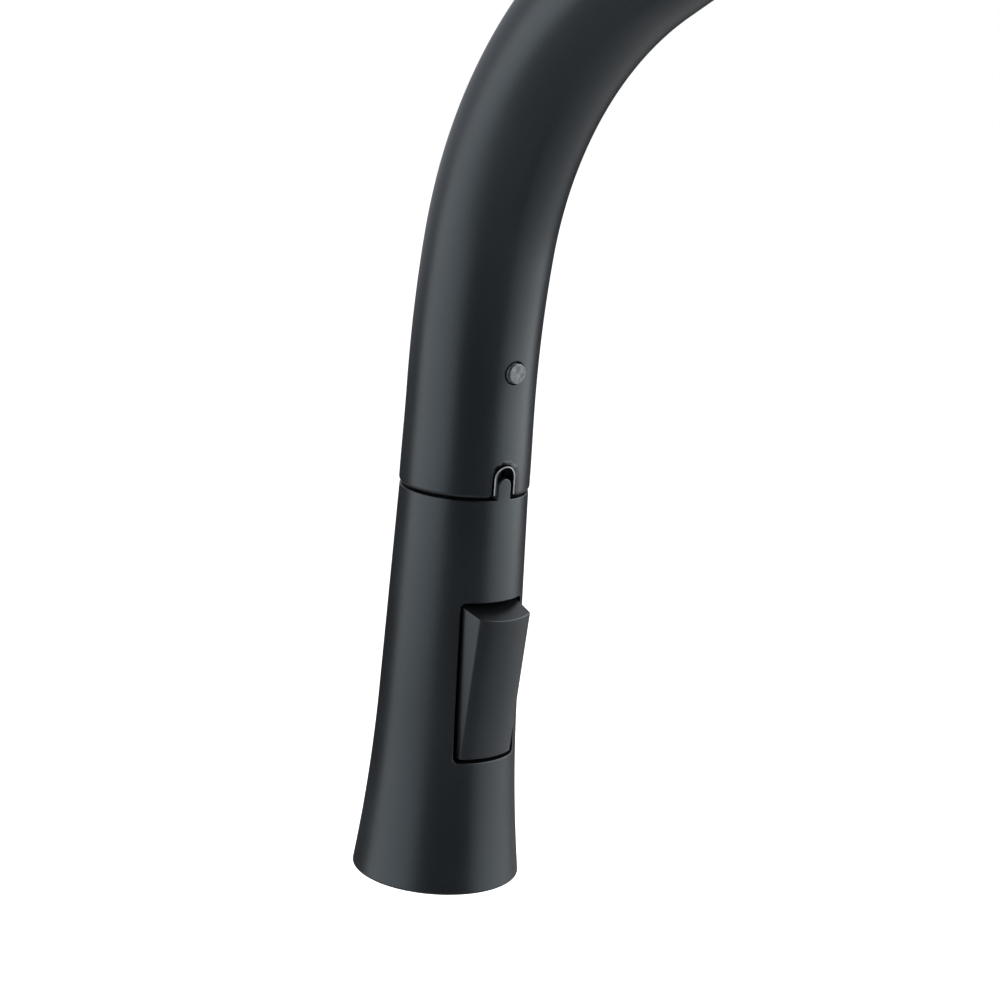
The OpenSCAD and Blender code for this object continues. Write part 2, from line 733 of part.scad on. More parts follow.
module body_column() {
    edge = 0.8;
    foot_edge = 1;
    steps = 16;
    side = [for (i = [0:steps])
        let (up = (column_flare_z - flange_t - foot_edge) * (1 - i / steps))
        [column_r + column_flare_R - sqrt(pow(column_flare_R, 2) - pow(up, 2)), column_flare_z - up]];
    color("#2b2d31") difference() {
        union() {
            rotate_extrude() polygon(concat(
                [[0, flange_t], [foot_r - foot_edge, flange_t]], side,
                corner(column_r - edge, column_top_z - edge, edge, 0, 90), [[0, column_top_z]]));
            at_lever() cylinder(r = boss_r, h = boss_len);
        }
        ring(socket_r, 0, column_top_z - socket_depth, column_top_z + past);
        ring(shank_r + seat_fit, 0, flange_t - past, flange_t + shank_in + 0.3);
        ring(shank_bore, 0, flange_t, manifold_z);
        // The tunnel for the hose: round through the manifold, then wide enough for the step aside.
        translate([0, hose_offset, 0])
            ring(hose_r + 0.6, 0, manifold_z - past, column_top_z - socket_depth + past);
        translate([0, 0, manifold_z + inlet_depth + 4]) {
            h = column_top_z - socket_depth - manifold_z - inlet_depth - 4 + past;
            ring(hose_r + 0.6, 0, 0, h);
            translate([-hose_r - 0.6, 0, 0]) cube([2 * hose_r + 1.2, hose_offset, h]);
        }
        // The cartridge's chamber, and the waterways from it to the sockets.
        at_lever() ring(chamber_r, 0, chamber_w, boss_len + past);
        for (i = [0:2]) {
            drill_y = i < 2 ? -10 : -12.6;
            port_z = lever_z + port_at[i][1];
            translate([inlet_at[i][0], inlet_at[i][1], 0])
                ring(inlet_r, 0, manifold_z - past, manifold_z + inlet_depth);
            translate([port_at[i][0], drill_y, 0])
                ring(passage_r, 0, manifold_z + inlet_depth - past, port_z + 1);
            translate([port_at[i][0], drill_y + 0.5, port_z]) rotate([90, 0, 0])
                cylinder(r = port_r, h = chamber_w + past + drill_y);
        }
        translate([0, 0, column_top_z - swivel_depth + 17]) across(screw_r + 0.05, 0, column_r + past);
    }
}

module base_flange() {
    edge = 1;
    color("#2b2d31") rotate_extrude() difference() {
        polygon(concat([[shank_r + 0.2, 0], [flange_r, 0]],
            corner(flange_r - edge, flange_t - edge, edge, 0, 90), [[shank_r + 0.2, flange_t]]));
        translate([shank_r + 3.1, -past]) square([4.2, past + 1.6]);
    }
}

module base_gasket() {
    color("#202020") ring(shank_r + 7.2, shank_r + 3.2, 0, 1.5);
}

module mounting_shank() {
    color("#c9b27a") ring(shank_r, shank_bore, -shank_len, flange_t + shank_in);
}

module deck_washer() {
    color("#202020") ring(30, shank_r + 0.2, -deck_t - 3, -deck_t);
}

module clamp_washer() {
    color("silver") ring(29, shank_r + 0.2, -deck_t - 5, -deck_t - 3);
}

module mounting_nut() {
    color("#c9b27a") difference() {
        union() {
            ring(27, 0, -deck_t - 11, -deck_t - 5.1);
            translate([0, 0, -deck_t - 19]) cylinder(r = shank_r + 5.5, h = 8.5, $fn = 6);
        }
        ring(shank_r + seat_fit, 0, -deck_t - 20, -deck_t);
        for (side = [-1, 1]) translate([side * 23.4, 0, 0]) ring(2.1, 0, -deck_t - 20, -deck_t);
    }
}

module jack_screws() {
    color("silver") for (side = [-1, 1]) translate([side * 23.4, 0, 0]) {
        ring(2, 0, -deck_t - 27, -deck_t - 5.05);
        difference() {
            translate([0, 0, -deck_t - 31]) cylinder(r = 3.8, h = 4, $fn = 6);
            translate([-0.6, -5, -deck_t - 32]) cube([1.2, 10, 2.4]);
        }
    }
}

// ---------- Cartridge ----------

module cartridge_body() {
    color("#e6e4da") at_lever() difference() {
        ring(cartridge_r, 0, chamber_w + 0.05, nut_w - 0.05);
        ring(cavity_r, 0, cavity_w, nut_w + past);
        for (at = port_at) translate([at[0], at[1], 0]) {
            ring(port_r, 0, chamber_w - past, cavity_w + past);
            ring(2.9, 0, chamber_w - past, chamber_w + 1.1);
        }
    }
}

module cartridge_seals() {
    color("#202020") at_lever() for (at = port_at) translate([at[0], at[1], 0])
        ring(2.8, port_r, chamber_w + 0.05, chamber_w + 1);
}

module fixed_disc() {
    color("#f2f0ea") at_lever() difference() {
        ring(cavity_r - seat_fit, 0, cavity_w + 0.05, cavity_w + disc_t);
        for (at = port_at) translate([at[0], at[1], 0]) ring(port_r, 0, cavity_w - past, cavity_w + disc_t + past);
    }
}

module moving_disc() {
    low = cavity_w + disc_t + 0.1;
    high = rotor_w - 0.3;
    color("#f2f0ea") at_lever() difference() {
        ring(cavity_r - 4.2, 0, low, high);
        ring(ball_r + 0.2, 0, pivot_w - ball_arm - ball_r - 0.6, high + past);
    }
}

module cartridge_rotor() {
    color("#e6e4da") at_lever() difference() {
        union() {
            ring(cavity_r - run_fit, 0, rotor_w, rotor_w + rotor_flange_t);
            ring(rotor_r, 0, rotor_w + rotor_flange_t, pivot_w + 4);
        }
        translate([-stem_r - 0.1, -5, rotor_w - past])
            cube([2 * stem_r + 0.2, 12.5, rotor_flange_t + 2 * past]);
        translate([-stem_r - 0.1, -rotor_r - past, rotor_w + rotor_flange_t])
            cube([2 * stem_r + 0.2, 2 * rotor_r + 2 * past, 20]);
        translate([0, 0, pivot_w]) across(pin_r + run_fit, -rotor_r - past, rotor_r + past);
    }
}

module stem_pin() {
    color("silver") at_lever() translate([0, 0, pivot_w]) across(pin_r, -rotor_r + 0.5, rotor_r - 0.5);
}

module cartridge_nut() {
    color("#c9b27a") at_lever() difference() {
        ring(cartridge_r, rotor_r + 0.2, nut_w, pivot_w + 3);
        for (turn = [0:60:300]) rotate([0, 0, turn]) translate([cartridge_r - 1.5, -1.2, pivot_w + 1])
            cube([3, 2.4, 3]);
    }
}

module bonnet_cap() {
    color("#2b2d31") at_lever() translate([0, 0, pivot_w]) rotate_extrude() intersection() {
        difference() {
            circle(boss_r);
            circle(boss_r - bonnet_wall);
        }
        translate([bonnet_hole_r, 0]) square([boss_r, boss_r]);
    }
}

// ---------- Lever ----------

module lever_stem() {
    slim_from = pivot_w - 5;
    color("silver") at_lever() difference() {
        union() {
            ring(stem_r, 0, slim_from, pivot_w + 14.9);
            ring(2, 0, pivot_w - ball_arm, slim_from + 0.5);
            translate([0, 0, pivot_w - ball_arm]) sphere(ball_r);
        }
        translate([0, 0, pivot_w]) across(pin_r + run_fit, -stem_r - past, stem_r + past);
        ring(1.6, 0, pivot_w + 5.5, pivot_w + 16);
    }
}

module lever_handle() {
    steps = 14;
    bar_R = (pow(handle_len * 0.6, 2) + pow(handle_end_r - handle_r, 2)) / (2 * (handle_end_r - handle_r));
    bar = [for (i = [0:steps]) let (along = handle_len * (0.4 + 0.6 * i / steps))
        [handle_r + bar_R - sqrt(pow(bar_R, 2) - pow(along - handle_len * 0.4, 2)), along]];
    color("#2b2d31") at_lever() translate([0, 0, pivot_w]) difference() {
        union() {
            rotate_extrude() {
                intersection() {
                    circle(hub_bore + hub_wall);
                    translate([0, hub_edge]) square(2 * boss_r);
                }
            }
            translate([0, 6, 12.5]) rotate([handle_lean - 90, 0, 0]) rotate_extrude()
                polygon(concat([[0, 0], [handle_r, 0]], bar, [[0, handle_len]]));
        }
        difference() {
            sphere(hub_bore);
            ring(hub_core_r, 0, 10.5, hub_bore + past);
        }
        ring(stem_r + seat_fit, 0, 0, 15.2);
        ring(1.6, 0, 10, 2 * boss_r);
        ring(plug_r + seat_fit, 0, 18, 2 * boss_r);
    }
}

module handle_screw() {
    color("silver") at_lever() translate([0, 0, pivot_w]) {
        ring(1.5, 0, 6, 18.1);
        difference() {
            ring(3.2, 0, 18.05, 19.2);
            translate([0, 0, 18.7]) cylinder(r = 1.2, h = 2, $fn = 6);
        }
    }
}

module index_plug() {
    color("#9a9ca0") at_lever() translate([0, 0, pivot_w]) rotate_extrude()
        polygon([[0, 19.3], [plug_r, 19.3], [plug_r, 20.3], [plug_r - 0.4, 20.7], [0, 20.8]]);
}

base_flange();
base_gasket();
body_column();
mounting_shank();
deck_washer();
clamp_washer();
mounting_nut();
jack_screws();
spout_screw();
cartridge_body();
cartridge_seals();
fixed_disc();
cartridge_nut();
bonnet_cap();
hose_lower();
hose_coupling();
hot_tail();
cold_tail();
outlet_tail();
cartridge_rotor();
stem_pin();
moving_disc();
lever_stem();
lever_handle();
handle_screw();
index_plug();
neck_tube();
spout_collar();
thrust_washer();
swivel_adapter();
bearing_rings();
friction_ring();
dock_sleeve();
hose_upper();
button_spring();
snap_button();
head_shell();
head_core();
head_spigot();
check_valve();
hose_nut();
hose_washer();
rocker_pin();
flow_plate();
nozzle_mat();
spray_plate();
face_ring();
aerator_cup();
aerator_mesh();
rocker_paddle();
diverter_spool();
spool_seals();
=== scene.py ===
import json
import math

import bpy
import numpy as np
from mathutils import Matrix, Vector
from mathutils.geometry import delaunay_2d_cdt


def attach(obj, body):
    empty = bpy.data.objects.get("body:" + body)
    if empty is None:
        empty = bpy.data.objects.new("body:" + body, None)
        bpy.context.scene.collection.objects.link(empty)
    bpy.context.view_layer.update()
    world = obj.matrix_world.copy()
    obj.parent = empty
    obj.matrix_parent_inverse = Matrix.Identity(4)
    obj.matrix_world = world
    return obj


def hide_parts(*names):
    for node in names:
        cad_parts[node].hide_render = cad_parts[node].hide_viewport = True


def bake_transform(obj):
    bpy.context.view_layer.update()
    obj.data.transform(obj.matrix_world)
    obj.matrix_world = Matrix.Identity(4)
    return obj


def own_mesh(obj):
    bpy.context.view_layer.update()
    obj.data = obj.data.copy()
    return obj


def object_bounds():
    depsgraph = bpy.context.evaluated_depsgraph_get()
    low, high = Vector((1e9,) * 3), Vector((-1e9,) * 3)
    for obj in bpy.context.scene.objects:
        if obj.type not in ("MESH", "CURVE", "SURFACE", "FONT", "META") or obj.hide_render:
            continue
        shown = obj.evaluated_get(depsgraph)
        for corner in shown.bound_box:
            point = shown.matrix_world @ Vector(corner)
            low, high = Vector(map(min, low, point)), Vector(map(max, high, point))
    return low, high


# A pull-down kitchen faucet in matt black: a gooseneck spout with a docked spray head,
# on a single-lever body. The deck plane is z = 0, the body's axis is the Z axis, the spout
# reaches along -X and the lever is on the -Y side.
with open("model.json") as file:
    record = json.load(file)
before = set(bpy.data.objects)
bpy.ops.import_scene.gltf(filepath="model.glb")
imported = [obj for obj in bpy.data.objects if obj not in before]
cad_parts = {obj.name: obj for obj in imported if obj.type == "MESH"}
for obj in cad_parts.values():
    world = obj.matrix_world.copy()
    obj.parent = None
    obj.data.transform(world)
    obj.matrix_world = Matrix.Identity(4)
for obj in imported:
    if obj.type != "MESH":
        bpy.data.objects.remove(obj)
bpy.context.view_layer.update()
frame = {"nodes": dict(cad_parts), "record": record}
nodes = frame["nodes"]

# ---- Camera ----
# A long lens looks at the end of the spout from the body's side, a little from above.
# The mouth of the neck is the point that the view is set by.
mouth = Vector((-0.234199, 0, 0.298929))
view_side, view_rise = math.radians(39.53), math.radians(8.15)
view_distance = 0.7
focal_px, sensor_mm, image_px = 2774.16, 36, 1000
mouth_px = (464.1, 483.2)

outward = Vector((math.cos(view_side) * math.cos(view_rise),
                  -math.sin(view_side) * math.cos(view_rise), math.sin(view_rise)))
forward = -outward
right = forward.cross(Vector((0, 0, 1))).normalized()
up = right.cross(forward)
# The view turns a little so that the mouth lies left of the picture's middle.
pan = math.atan((mouth_px[0] - image_px / 2) / focal_px)
tip = math.atan(-(mouth_px[1] - image_px / 2) / focal_px * math.cos(pan))
panned = forward * math.cos(pan) - right * math.sin(pan)
right = right * math.cos(pan) + forward * math.sin(pan)
forward = panned * math.cos(tip) - up * math.sin(tip)
up = up * math.cos(tip) + panned * math.sin(tip)

lens = bpy.data.cameras.new("camera")
lens.sensor_width = sensor_mm
lens.lens = focal_px / image_px * sensor_mm
lens.clip_start = 0.05
camera = bpy.data.objects.new("camera", lens)
place = Matrix((right, up, -forward)).transposed().to_4x4()
place.translation = mouth + outward * view_distance
camera.matrix_world = place
bpy.context.scene.collection.objects.link(camera)
bpy.context.scene.camera = camera
bpy.context.scene.view_settings.view_transform = "Standard"


# ---- Studio: floor, sky and lamps ----
# A white sweep, with a broad soft box on the lever's side, one nearly as broad on the other
# side and a weak one high behind the faucet. The room is dark behind the camera, as a studio
# has it for black goods.
def colour(hex_code):
    """The linear colour of an sRGB hex code."""
    parts = [int(hex_code[i:i + 2], 16) / 255 for i in (1, 3, 5)]
    return [c / 12.92 if c <= 0.04045 else ((c + 0.055) / 1.055) ** 2.4 for c in parts] + [1]


def add(tree, kind, settings=None, **links):
    """Adds a node. settings go on its inputs or attributes, links come from other nodes.

    A link is named for its input, or for the input's number as _0, and its source is a node,
    for that node's first output, or a (node, output) pair.
    """
    node = tree.nodes.new(kind)
    for name, value in (settings or {}).items():
        if isinstance(name, int) or name in node.inputs:
            node.inputs[name].default_value = value
        else:
            setattr(node, name, value)
    for name, source in links.items():
        socket = node.inputs[int(name[1:])] if name[0] == "_" and name[1:].isdigit() \
            else node.inputs[name.replace("_", " ")]
        if isinstance(source, tuple):
            tree.links.new(source[0].outputs[source[1]], socket)
        else:
            tree.links.new(source.outputs[0], socket)
    return node


# The floor lies half a millimetre under the lowest tail.
floor_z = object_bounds()[0][2] - 0.0005
floor_mesh = bpy.data.meshes.new("floor")
wide = 12
floor_mesh.from_pydata([(-wide, -wide, floor_z), (wide, -wide, floor_z),
                        (wide, wide, floor_z), (-wide, wide, floor_z)], [], [(0, 1, 2, 3)])
floor = bpy.data.objects.new("floor", floor_mesh)
bpy.context.scene.collection.objects.link(floor)

paper = bpy.data.materials.new("white_paper_sweep")
paper.use_nodes = True
tree = paper.node_tree
tree.nodes.clear()
rays = add(tree, "ShaderNodeLightPath")
seen = add(tree, "ShaderNodeMath", {"operation": "MAXIMUM"}, _0=(rays, "Is Camera Ray"),
           _1=(rays, "Is Transmission Ray"))
# Light and reflections see the paper fall off into the dark room, at 0.9 to 1.9 m from the
# faucet. The camera sees it white all over.
where = add(tree, "ShaderNodeNewGeometry")
away = add(tree, "ShaderNodeVectorMath", {"operation": "LENGTH"}, _0=(where, "Position"))
far = add(tree, "ShaderNodeMapRange", {"From Min": 0.9, "From Max": 1.9}, Value=(away, "Value"))
shade = add(tree, "ShaderNodeMix",
            {"data_type": "RGBA", 6: colour("#C2C2C2"), 7: colour("#3E3E3E")}, _0=far)
floor_light = add(tree, "ShaderNodeBsdfDiffuse", None, Color=(shade, 2))
diffuse = add(tree, "ShaderNodeBsdfDiffuse", {"Color": colour("#F4F4F4")})
level = add(tree, "ShaderNodeMapRange", {"To Min": 0.86, "To Max": 1.0}, Value=far)
glow = add(tree, "ShaderNodeEmission", {"Color": colour("#FFFFFF")}, Strength=level)
both = add(tree, "ShaderNodeAddShader", None, _0=diffuse, _1=glow)
mixed = add(tree, "ShaderNodeMixShader", None, _0=seen, _1=floor_light, _2=both)
add(tree, "ShaderNodeOutputMaterial", None, Surface=mixed)
floor_mesh.materials.append(paper)

world = bpy.data.worlds.new("studio")
bpy.context.scene.world = world
world.use_nodes = True
tree = world.node_tree
tree.nodes.clear()
rays = add(tree, "ShaderNodeLightPath")
# Light and reflections see a white backdrop behind the faucet and the dark room round the
# camera, with a soft change between the two.
where = add(tree, "ShaderNodeTexCoord")
behind = add(tree, "ShaderNodeVectorMath", {"operation": "DOT_PRODUCT", 1: tuple(-outward)},
             _0=(where, "Generated"))
level = add(tree, "ShaderNodeMapRange",
            {"From Min": 0.05, "From Max": 0.4, "To Min": 0.025, "To Max": 0.62},
            Value=(behind, "Value"))
room = add(tree, "ShaderNodeBackground", {"Color": colour("#F4F7FF")}, Strength=level)
white = add(tree, "ShaderNodeBackground", {"Color": colour("#FFFFFF"), "Strength": 1.0})
seen = add(tree, "ShaderNodeMath", {"operation": "MAXIMUM"}, _0=(rays, "Is Camera Ray"),
           _1=(rays, "Is Transmission Ray"))
mixed = add(tree, "ShaderNodeMixShader", None, _0=seen, _1=room, _2=white)
add(tree, "ShaderNodeOutputWorld", None, Surface=mixed)


def soft_box(name, turn, rise, distance, size, power):
    """A soft box that faces the mouth, turned from the camera's side and raised, in degrees."""
    lamp = bpy.data.lights.new(name, "AREA")
    lamp.shape = "RECTANGLE"
    lamp.size, lamp.size_y = size
    lamp.energy = power
    body = bpy.data.objects.new(name, lamp)
    around = math.radians(turn) - view_side
    high = math.radians(rise)
    direction = Vector((math.cos(around) * math.cos(high), math.sin(around) * math.cos(high),
                        math.sin(high)))
    body.location = mouth + direction * distance
    body.rotation_euler = direction.to_track_quat("Z", "Y").to_euler()
    body.visible_camera = False
    bpy.context.scene.collection.objects.link(body)


soft_box("left_box", -68, 6, 1.4, (2.3, 2.2), 39)
soft_box("right_box", 90, 6, 1.4, (2.0, 2.2), 48)
soft_box("top_box", 180, 70, 1.8, (1.4, 1.4), 10)


# ---- Gooseneck ----
# Brass tube, bent on a mandrel and sized at the mouth, then sprayed with matt black powder.
# Its mouth has an arched notch that keys the head, and a round hole for the snap button.
# Sizes are in millimetres, and a place on the spout is a turn round it and a distance along
# it from the mouth: upwards over the crest, or below 0 down the docked head.
mouth_tilt, lead_turn, crest_lean = 6.7, 8.0, 65.0
bend_r, lead_r, straight, crest_run = 104.0, 265.0, 24.0, 22.0
neck_r, mouth_r, bore_r, lip = 16.2, 16.5, 14.6, 1.0
leg_top_z, leg_z = 342.0, 158.15
notch_w, notch_h, notch_y, button_z, button_hole = 7.8, 8.5, -0.4, 31.5, 2.9
sides = 120

# Each bend is where it starts along the tube, its radius and its turn in degrees.
bends = [(straight, lead_r, lead_turn)]
bends.append((straight + lead_r * math.radians(lead_turn), bend_r,
              crest_lean - mouth_tilt - lead_turn))
bends.append((bends[1][0] + bend_r * math.radians(bends[1][2]) + crest_run, bend_r,
              180 - crest_lean))
leg_from = bends[2][0] + bend_r * math.radians(bends[2][2])
neck_end = leg_from + leg_top_z - leg_z
# The path runs on past both ends of the tube, for the head and the hose.
step, before, beyond = 0.1, 110, 15
path_s = np.arange(-before, neck_end + beyond, step)
mid_s = path_s[:-1] + step / 2
path_h, mid_h = (math.radians(mouth_tilt)
                 + sum(np.clip((s - start) / radius, 0, math.radians(turn))
                       for start, radius, turn in bends) for s in (path_s, mid_s))
path_x, path_z = (np.concatenate([[0], np.cumsum(way(mid_h) * step)])
                  for way in (np.sin, np.cos))
path_x += mouth.x * 1000 - np.interp(0, path_s, path_x)
path_z += mouth.z * 1000 - np.interp(0, path_s, path_z)


def on_path(s):
    """Centre, and the directions in towards the body and on along the tube, at distances s."""
    h = np.interp(s, path_s, path_h)
    zero = np.zeros_like(h)
    centre = np.stack([np.interp(s, path_s, path_x), zero, np.interp(s, path_s, path_z)], -1)
    inwards = np.stack([np.cos(h), zero, -np.sin(h)], -1)
    onwards = np.stack([np.sin(h), zero, np.cos(h)], -1)
    return centre, inwards, onwards


def made(name, points, faces, normals, body):
    """A mesh object from points in millimetres, riding on a body if one is named.

    normals are one per corner of each face, or None to leave the shading to the faces.
    """
    mesh = bpy.data.meshes.new(name)
    mesh.from_pydata([tuple(p) for p in np.asarray(points) / 1000], [], faces)
    if normals is not None:
        mesh.polygons.foreach_set("use_smooth", [True] * len(mesh.polygons))
        mesh.normals_split_custom_set([tuple(n) for face in normals for n in face])
    piece = bpy.data.objects.new(name, mesh)
    bpy.context.scene.collection.objects.link(piece)
    if body:
        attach(piece, body)
    return piece


def pierced(rows, outlines, kept, edge, inner_at, open_end):
    """A round shell with cuts in it, with rounded edges and with walls that go in to its bore.

    rows are (distance, radius, lean of the surface), outlines are the cuts' edges as
    (turn * mouth_r, distance), with the shell on their left, and kept tells where the shell is.
    edge is the rounding's radius, inner_at gives the bore's radius at a distance, and the shell
    has no wall past open_end, where other rings go on from it.
    """
    row_s, row_r, row_lean = (np.array(v) for v in zip(*sorted(rows)))
    around = np.linspace(-math.pi, math.pi, sides + 1) * mouth_r
    links, rounds = [], []
    for line, closed in outlines:
        ahead = np.roll(line, -1, 0) - np.roll(line, 1, 0)
        if not closed:
            ahead[0], ahead[-1] = line[1] - line[0], line[-1] - line[-2]
        ahead /= np.linalg.norm(ahead, axis=1)[:, None]
        left = np.stack([-ahead[:, 1], ahead[:, 0]], 1)
        first = sum(len(r) for r in rounds)
        # Rows of the rounding: it has rolled over by 90 degrees at the cut, and by none inland.
        for roll in (math.radians(degrees) for degrees in (90, 68, 45, 22, 0)):
            shifted = line + left * edge * (1 - math.sin(roll))
            rounds.append(np.concatenate([shifted, np.full((len(line), 1), roll), -left], 1))
        count = len(line)
        links += [(first + i, first + (i + 1) % count)
                  for i in range(count if closed else count - 1)]
    rounds = np.concatenate(rounds)

    def far_from_edges(points, gap):
        """Which points are more than a gap away from every cut."""
        clear = np.ones(len(points), bool)
        for line, closed in outlines:
            start = line if closed else line[:-1]
            run = (np.roll(line, -1, 0) if closed else line[1:])[:len(start)] - start
            share = ((points[:, None] - start) * run).sum(2) / (run ** 2).sum(1)
            nearest = start + np.clip(share, 0, 1)[..., None] * run
            clear &= np.linalg.norm(points[:, None] - nearest, axis=2).min(1) > gap
        return clear

    # The cuts' own lines stay whole. A point of another row goes where it would lie nearer to a
    # cut than its row should, as in the hollow of a tight corner.
    at_cut = rounds[:, 2] == math.pi / 2
    reach = edge * (1 - np.sin(rounds[:, 2])) - 0.02
    inland = [i for i in np.flatnonzero(~at_cut)
              if far_from_edges(rounds[i:i + 1, :2], reach[i])[0]]
    grid = np.stack(np.meshgrid(around, row_s), -1).reshape(-1, 2)
    grid = grid[kept(grid[:, 0], grid[:, 1])]
    grid = grid[far_from_edges(grid, edge + 0.1)]
    chosen = np.concatenate([np.flatnonzero(at_cut), inland])
    renumber = {old: new for new, old in enumerate(chosen)}
    known = np.concatenate([rounds[chosen], np.concatenate([grid, np.zeros((len(grid), 3))], 1)])
    flat, _, triangles, origins, _, _ = delaunay_2d_cdt(
        [Vector(p) for p in known[:, :2]], [(renumber[a], renumber[b]) for a, b in links], [],
        0, 1e-5)
    spots = np.array([tuple(p) for p in flat])
    extra = np.array([known[o[0]][2:] if o else (0, 0, 0) for o in origins])
    middle = spots[np.array(triangles)].mean(1)
    triangles = [t for t, keep in zip(triangles, kept(middle[:, 0], middle[:, 1])) if keep]

    # The unrolled surface closes at its back: its last column is its first.
    end = math.pi * mouth_r
    first_column = {round(s, 3): i for i, (a, s) in enumerate(spots) if abs(a + end) < 1e-4}
    joined = {i: first_column[round(s, 3)] for i, (a, s) in enumerate(spots)
              if abs(a - end) < 1e-4}
    skin = []
    for t in triangles:
        p, q, r = (spots[i] for i in t)
        if (q[0] - p[0]) * (r[1] - p[1]) - (q[1] - p[1]) * (r[0] - p[0]) < 0:
            t = t[::-1]
        skin.append([joined.get(i, i) for i in t])

    turn = spots[:, 0] / mouth_r
    radius, lean = (np.interp(spots[:, 1], row_s, row) for row in (row_r, row_lean))
    centre, inwards, onwards = on_path(spots[:, 1])
    across = np.tile([0.0, 1.0, 0.0], (len(spots), 1))
    out = np.cos(turn)[:, None] * inwards + np.sin(turn)[:, None] * across
    sideways = -np.sin(turn)[:, None] * inwards + np.cos(turn)[:, None] * across
    normal = np.cos(lean)[:, None] * out + np.sin(lean)[:, None] * onwards
    rise = -np.sin(lean)[:, None] * out + np.cos(lean)[:, None] * onwards
    side = np.where((np.abs(turn) < 1)[:, None], across, sideways)
    roll = extra[:, :1]
    shell = centre + radius[:, None] * out - normal * edge * (1 - np.cos(roll))
    normal = np.cos(roll) * normal + np.sin(roll) * (extra[:, 1:2] * side + extra[:, 2:3] * rise)
    normal /= np.linalg.norm(normal, axis=1)[:, None]
    # Near the cuts the bore's points keep their distance from the middle plane, as a straight
    # cut does. That fades out between turns of 0.9 and 1.25.
    bore = inner_at(spots[:, 1])
    level = np.arcsin(np.clip(radius * np.sin(turn) / bore, -1, 1))
    near = np.clip((1.25 - np.abs(turn)) / 0.35, 0, 1)
    inner_turn = turn + (level - turn) * near
    inner_out = np.cos(inner_turn)[:, None] * inwards + np.sin(inner_turn)[:, None] * across
    inner = centre + bore[:, None] * inner_out

    # Both skins, then a wall wherever the outer skin has an edge with no neighbour.
    count = len(spots)
    faces, normals, edges = [], [], {}
    for t in skin:
        faces.append(t)
        normals.append([normal[i] for i in t])
        faces.append([i + count for i in t[::-1]])
        normals.append([-inner_out[i] for i in t[::-1]])
        edges.update(dict.fromkeys(zip(t, t[1:] + t[:1])))
    for i, j in edges:
        at_end = open_end is not None and min(spots[i][1], spots[j][1]) > open_end - 1e-4
        if (j, i) in edges or at_end:
            continue
        faces.append([j, i, i + count, j + count])
        normals.append([normal[j], normal[i], normal[i], normal[j]])
    return np.concatenate([shell, inner]), faces, normals, spots, count


def neck_radius(s):
    """The neck's outer radius: it grows by a third of a millimetre towards the mouth."""
    share = np.clip(s / straight, 0, 1)
    return mouth_r - (mouth_r - neck_r) * share ** 2 * (3 - 2 * share)


# The cuts lie in the tube's first 42 mm, whose rows begin with the lip's rounding.
cut_top, cut_edge, row_step = 42.0, 0.35, 0.95
rows = [(lip * (1 - math.sin(a)), float(neck_radius(0)) - lip * (1 - math.cos(a)), -a)
        for a in np.radians([90, 75, 60, 45, 30, 15])]
for s in np.append(np.arange(1, cut_top, row_step), cut_top):
    growth = float(neck_radius(s - 0.01) - neck_radius(s + 0.01)) / 0.02
    rows.append((s, float(neck_radius(s)), growth))
# The notch is an arch with a round top, up one side and down the other.
notch_half, notch_side_rows = notch_w / 2, 10
notch_side = np.linspace(0, notch_h - notch_half, notch_side_rows)
bow = np.radians(np.arange(8, 176, 8))
arch_y = np.concatenate([np.full(notch_side_rows, notch_half), notch_half * np.cos(bow),
                         np.full(notch_side_rows, -notch_half)])
arch_s = np.concatenate([notch_side, notch_h - notch_half + notch_half * np.sin(bow),
                         notch_side[::-1]])
notch = np.stack([np.arcsin(arch_y / mouth_r) * mouth_r + notch_y, arch_s], 1)
# The button's hole is bored square to the mouth's axis, into the start of the first bend.
ring_turn = np.radians(np.arange(0, 360, 8))
hole_y, hole_z = button_hole * np.cos(ring_turn), button_z + button_hole * np.sin(ring_turn)
hole_s = straight + lead_r * np.arcsin(
    (hole_z - straight) / (lead_r - np.sqrt(neck_r ** 2 - hole_y ** 2)))
hole = np.stack([np.arcsin(hole_y / neck_r) * mouth_r, hole_s], 1)[::-1]
hole_mid = (hole_s.max() + hole_s.min()) / 2


def in_neck(a, s):
    """Where the neck is whole, on the unrolled surface."""
    y = np.sin((a - notch_y) / mouth_r) * mouth_r
    front = np.abs(a) < 1.5 * mouth_r
    above = s - notch_h + notch_half
    in_notch = front & (np.abs(y) < notch_half) & ((above < 0) | (np.hypot(y, above) < notch_half))
    in_hole = front & (np.hypot(np.sin(a / mouth_r) * neck_r, s - hole_mid) < button_hole - 0.02)
    return ~(in_notch | in_hole)


points, faces, normals, spots, count = pierced(
    rows, [(notch, False), (hole, True)], in_neck, cut_edge,
    lambda s: np.full(len(s), bore_r), cut_top)
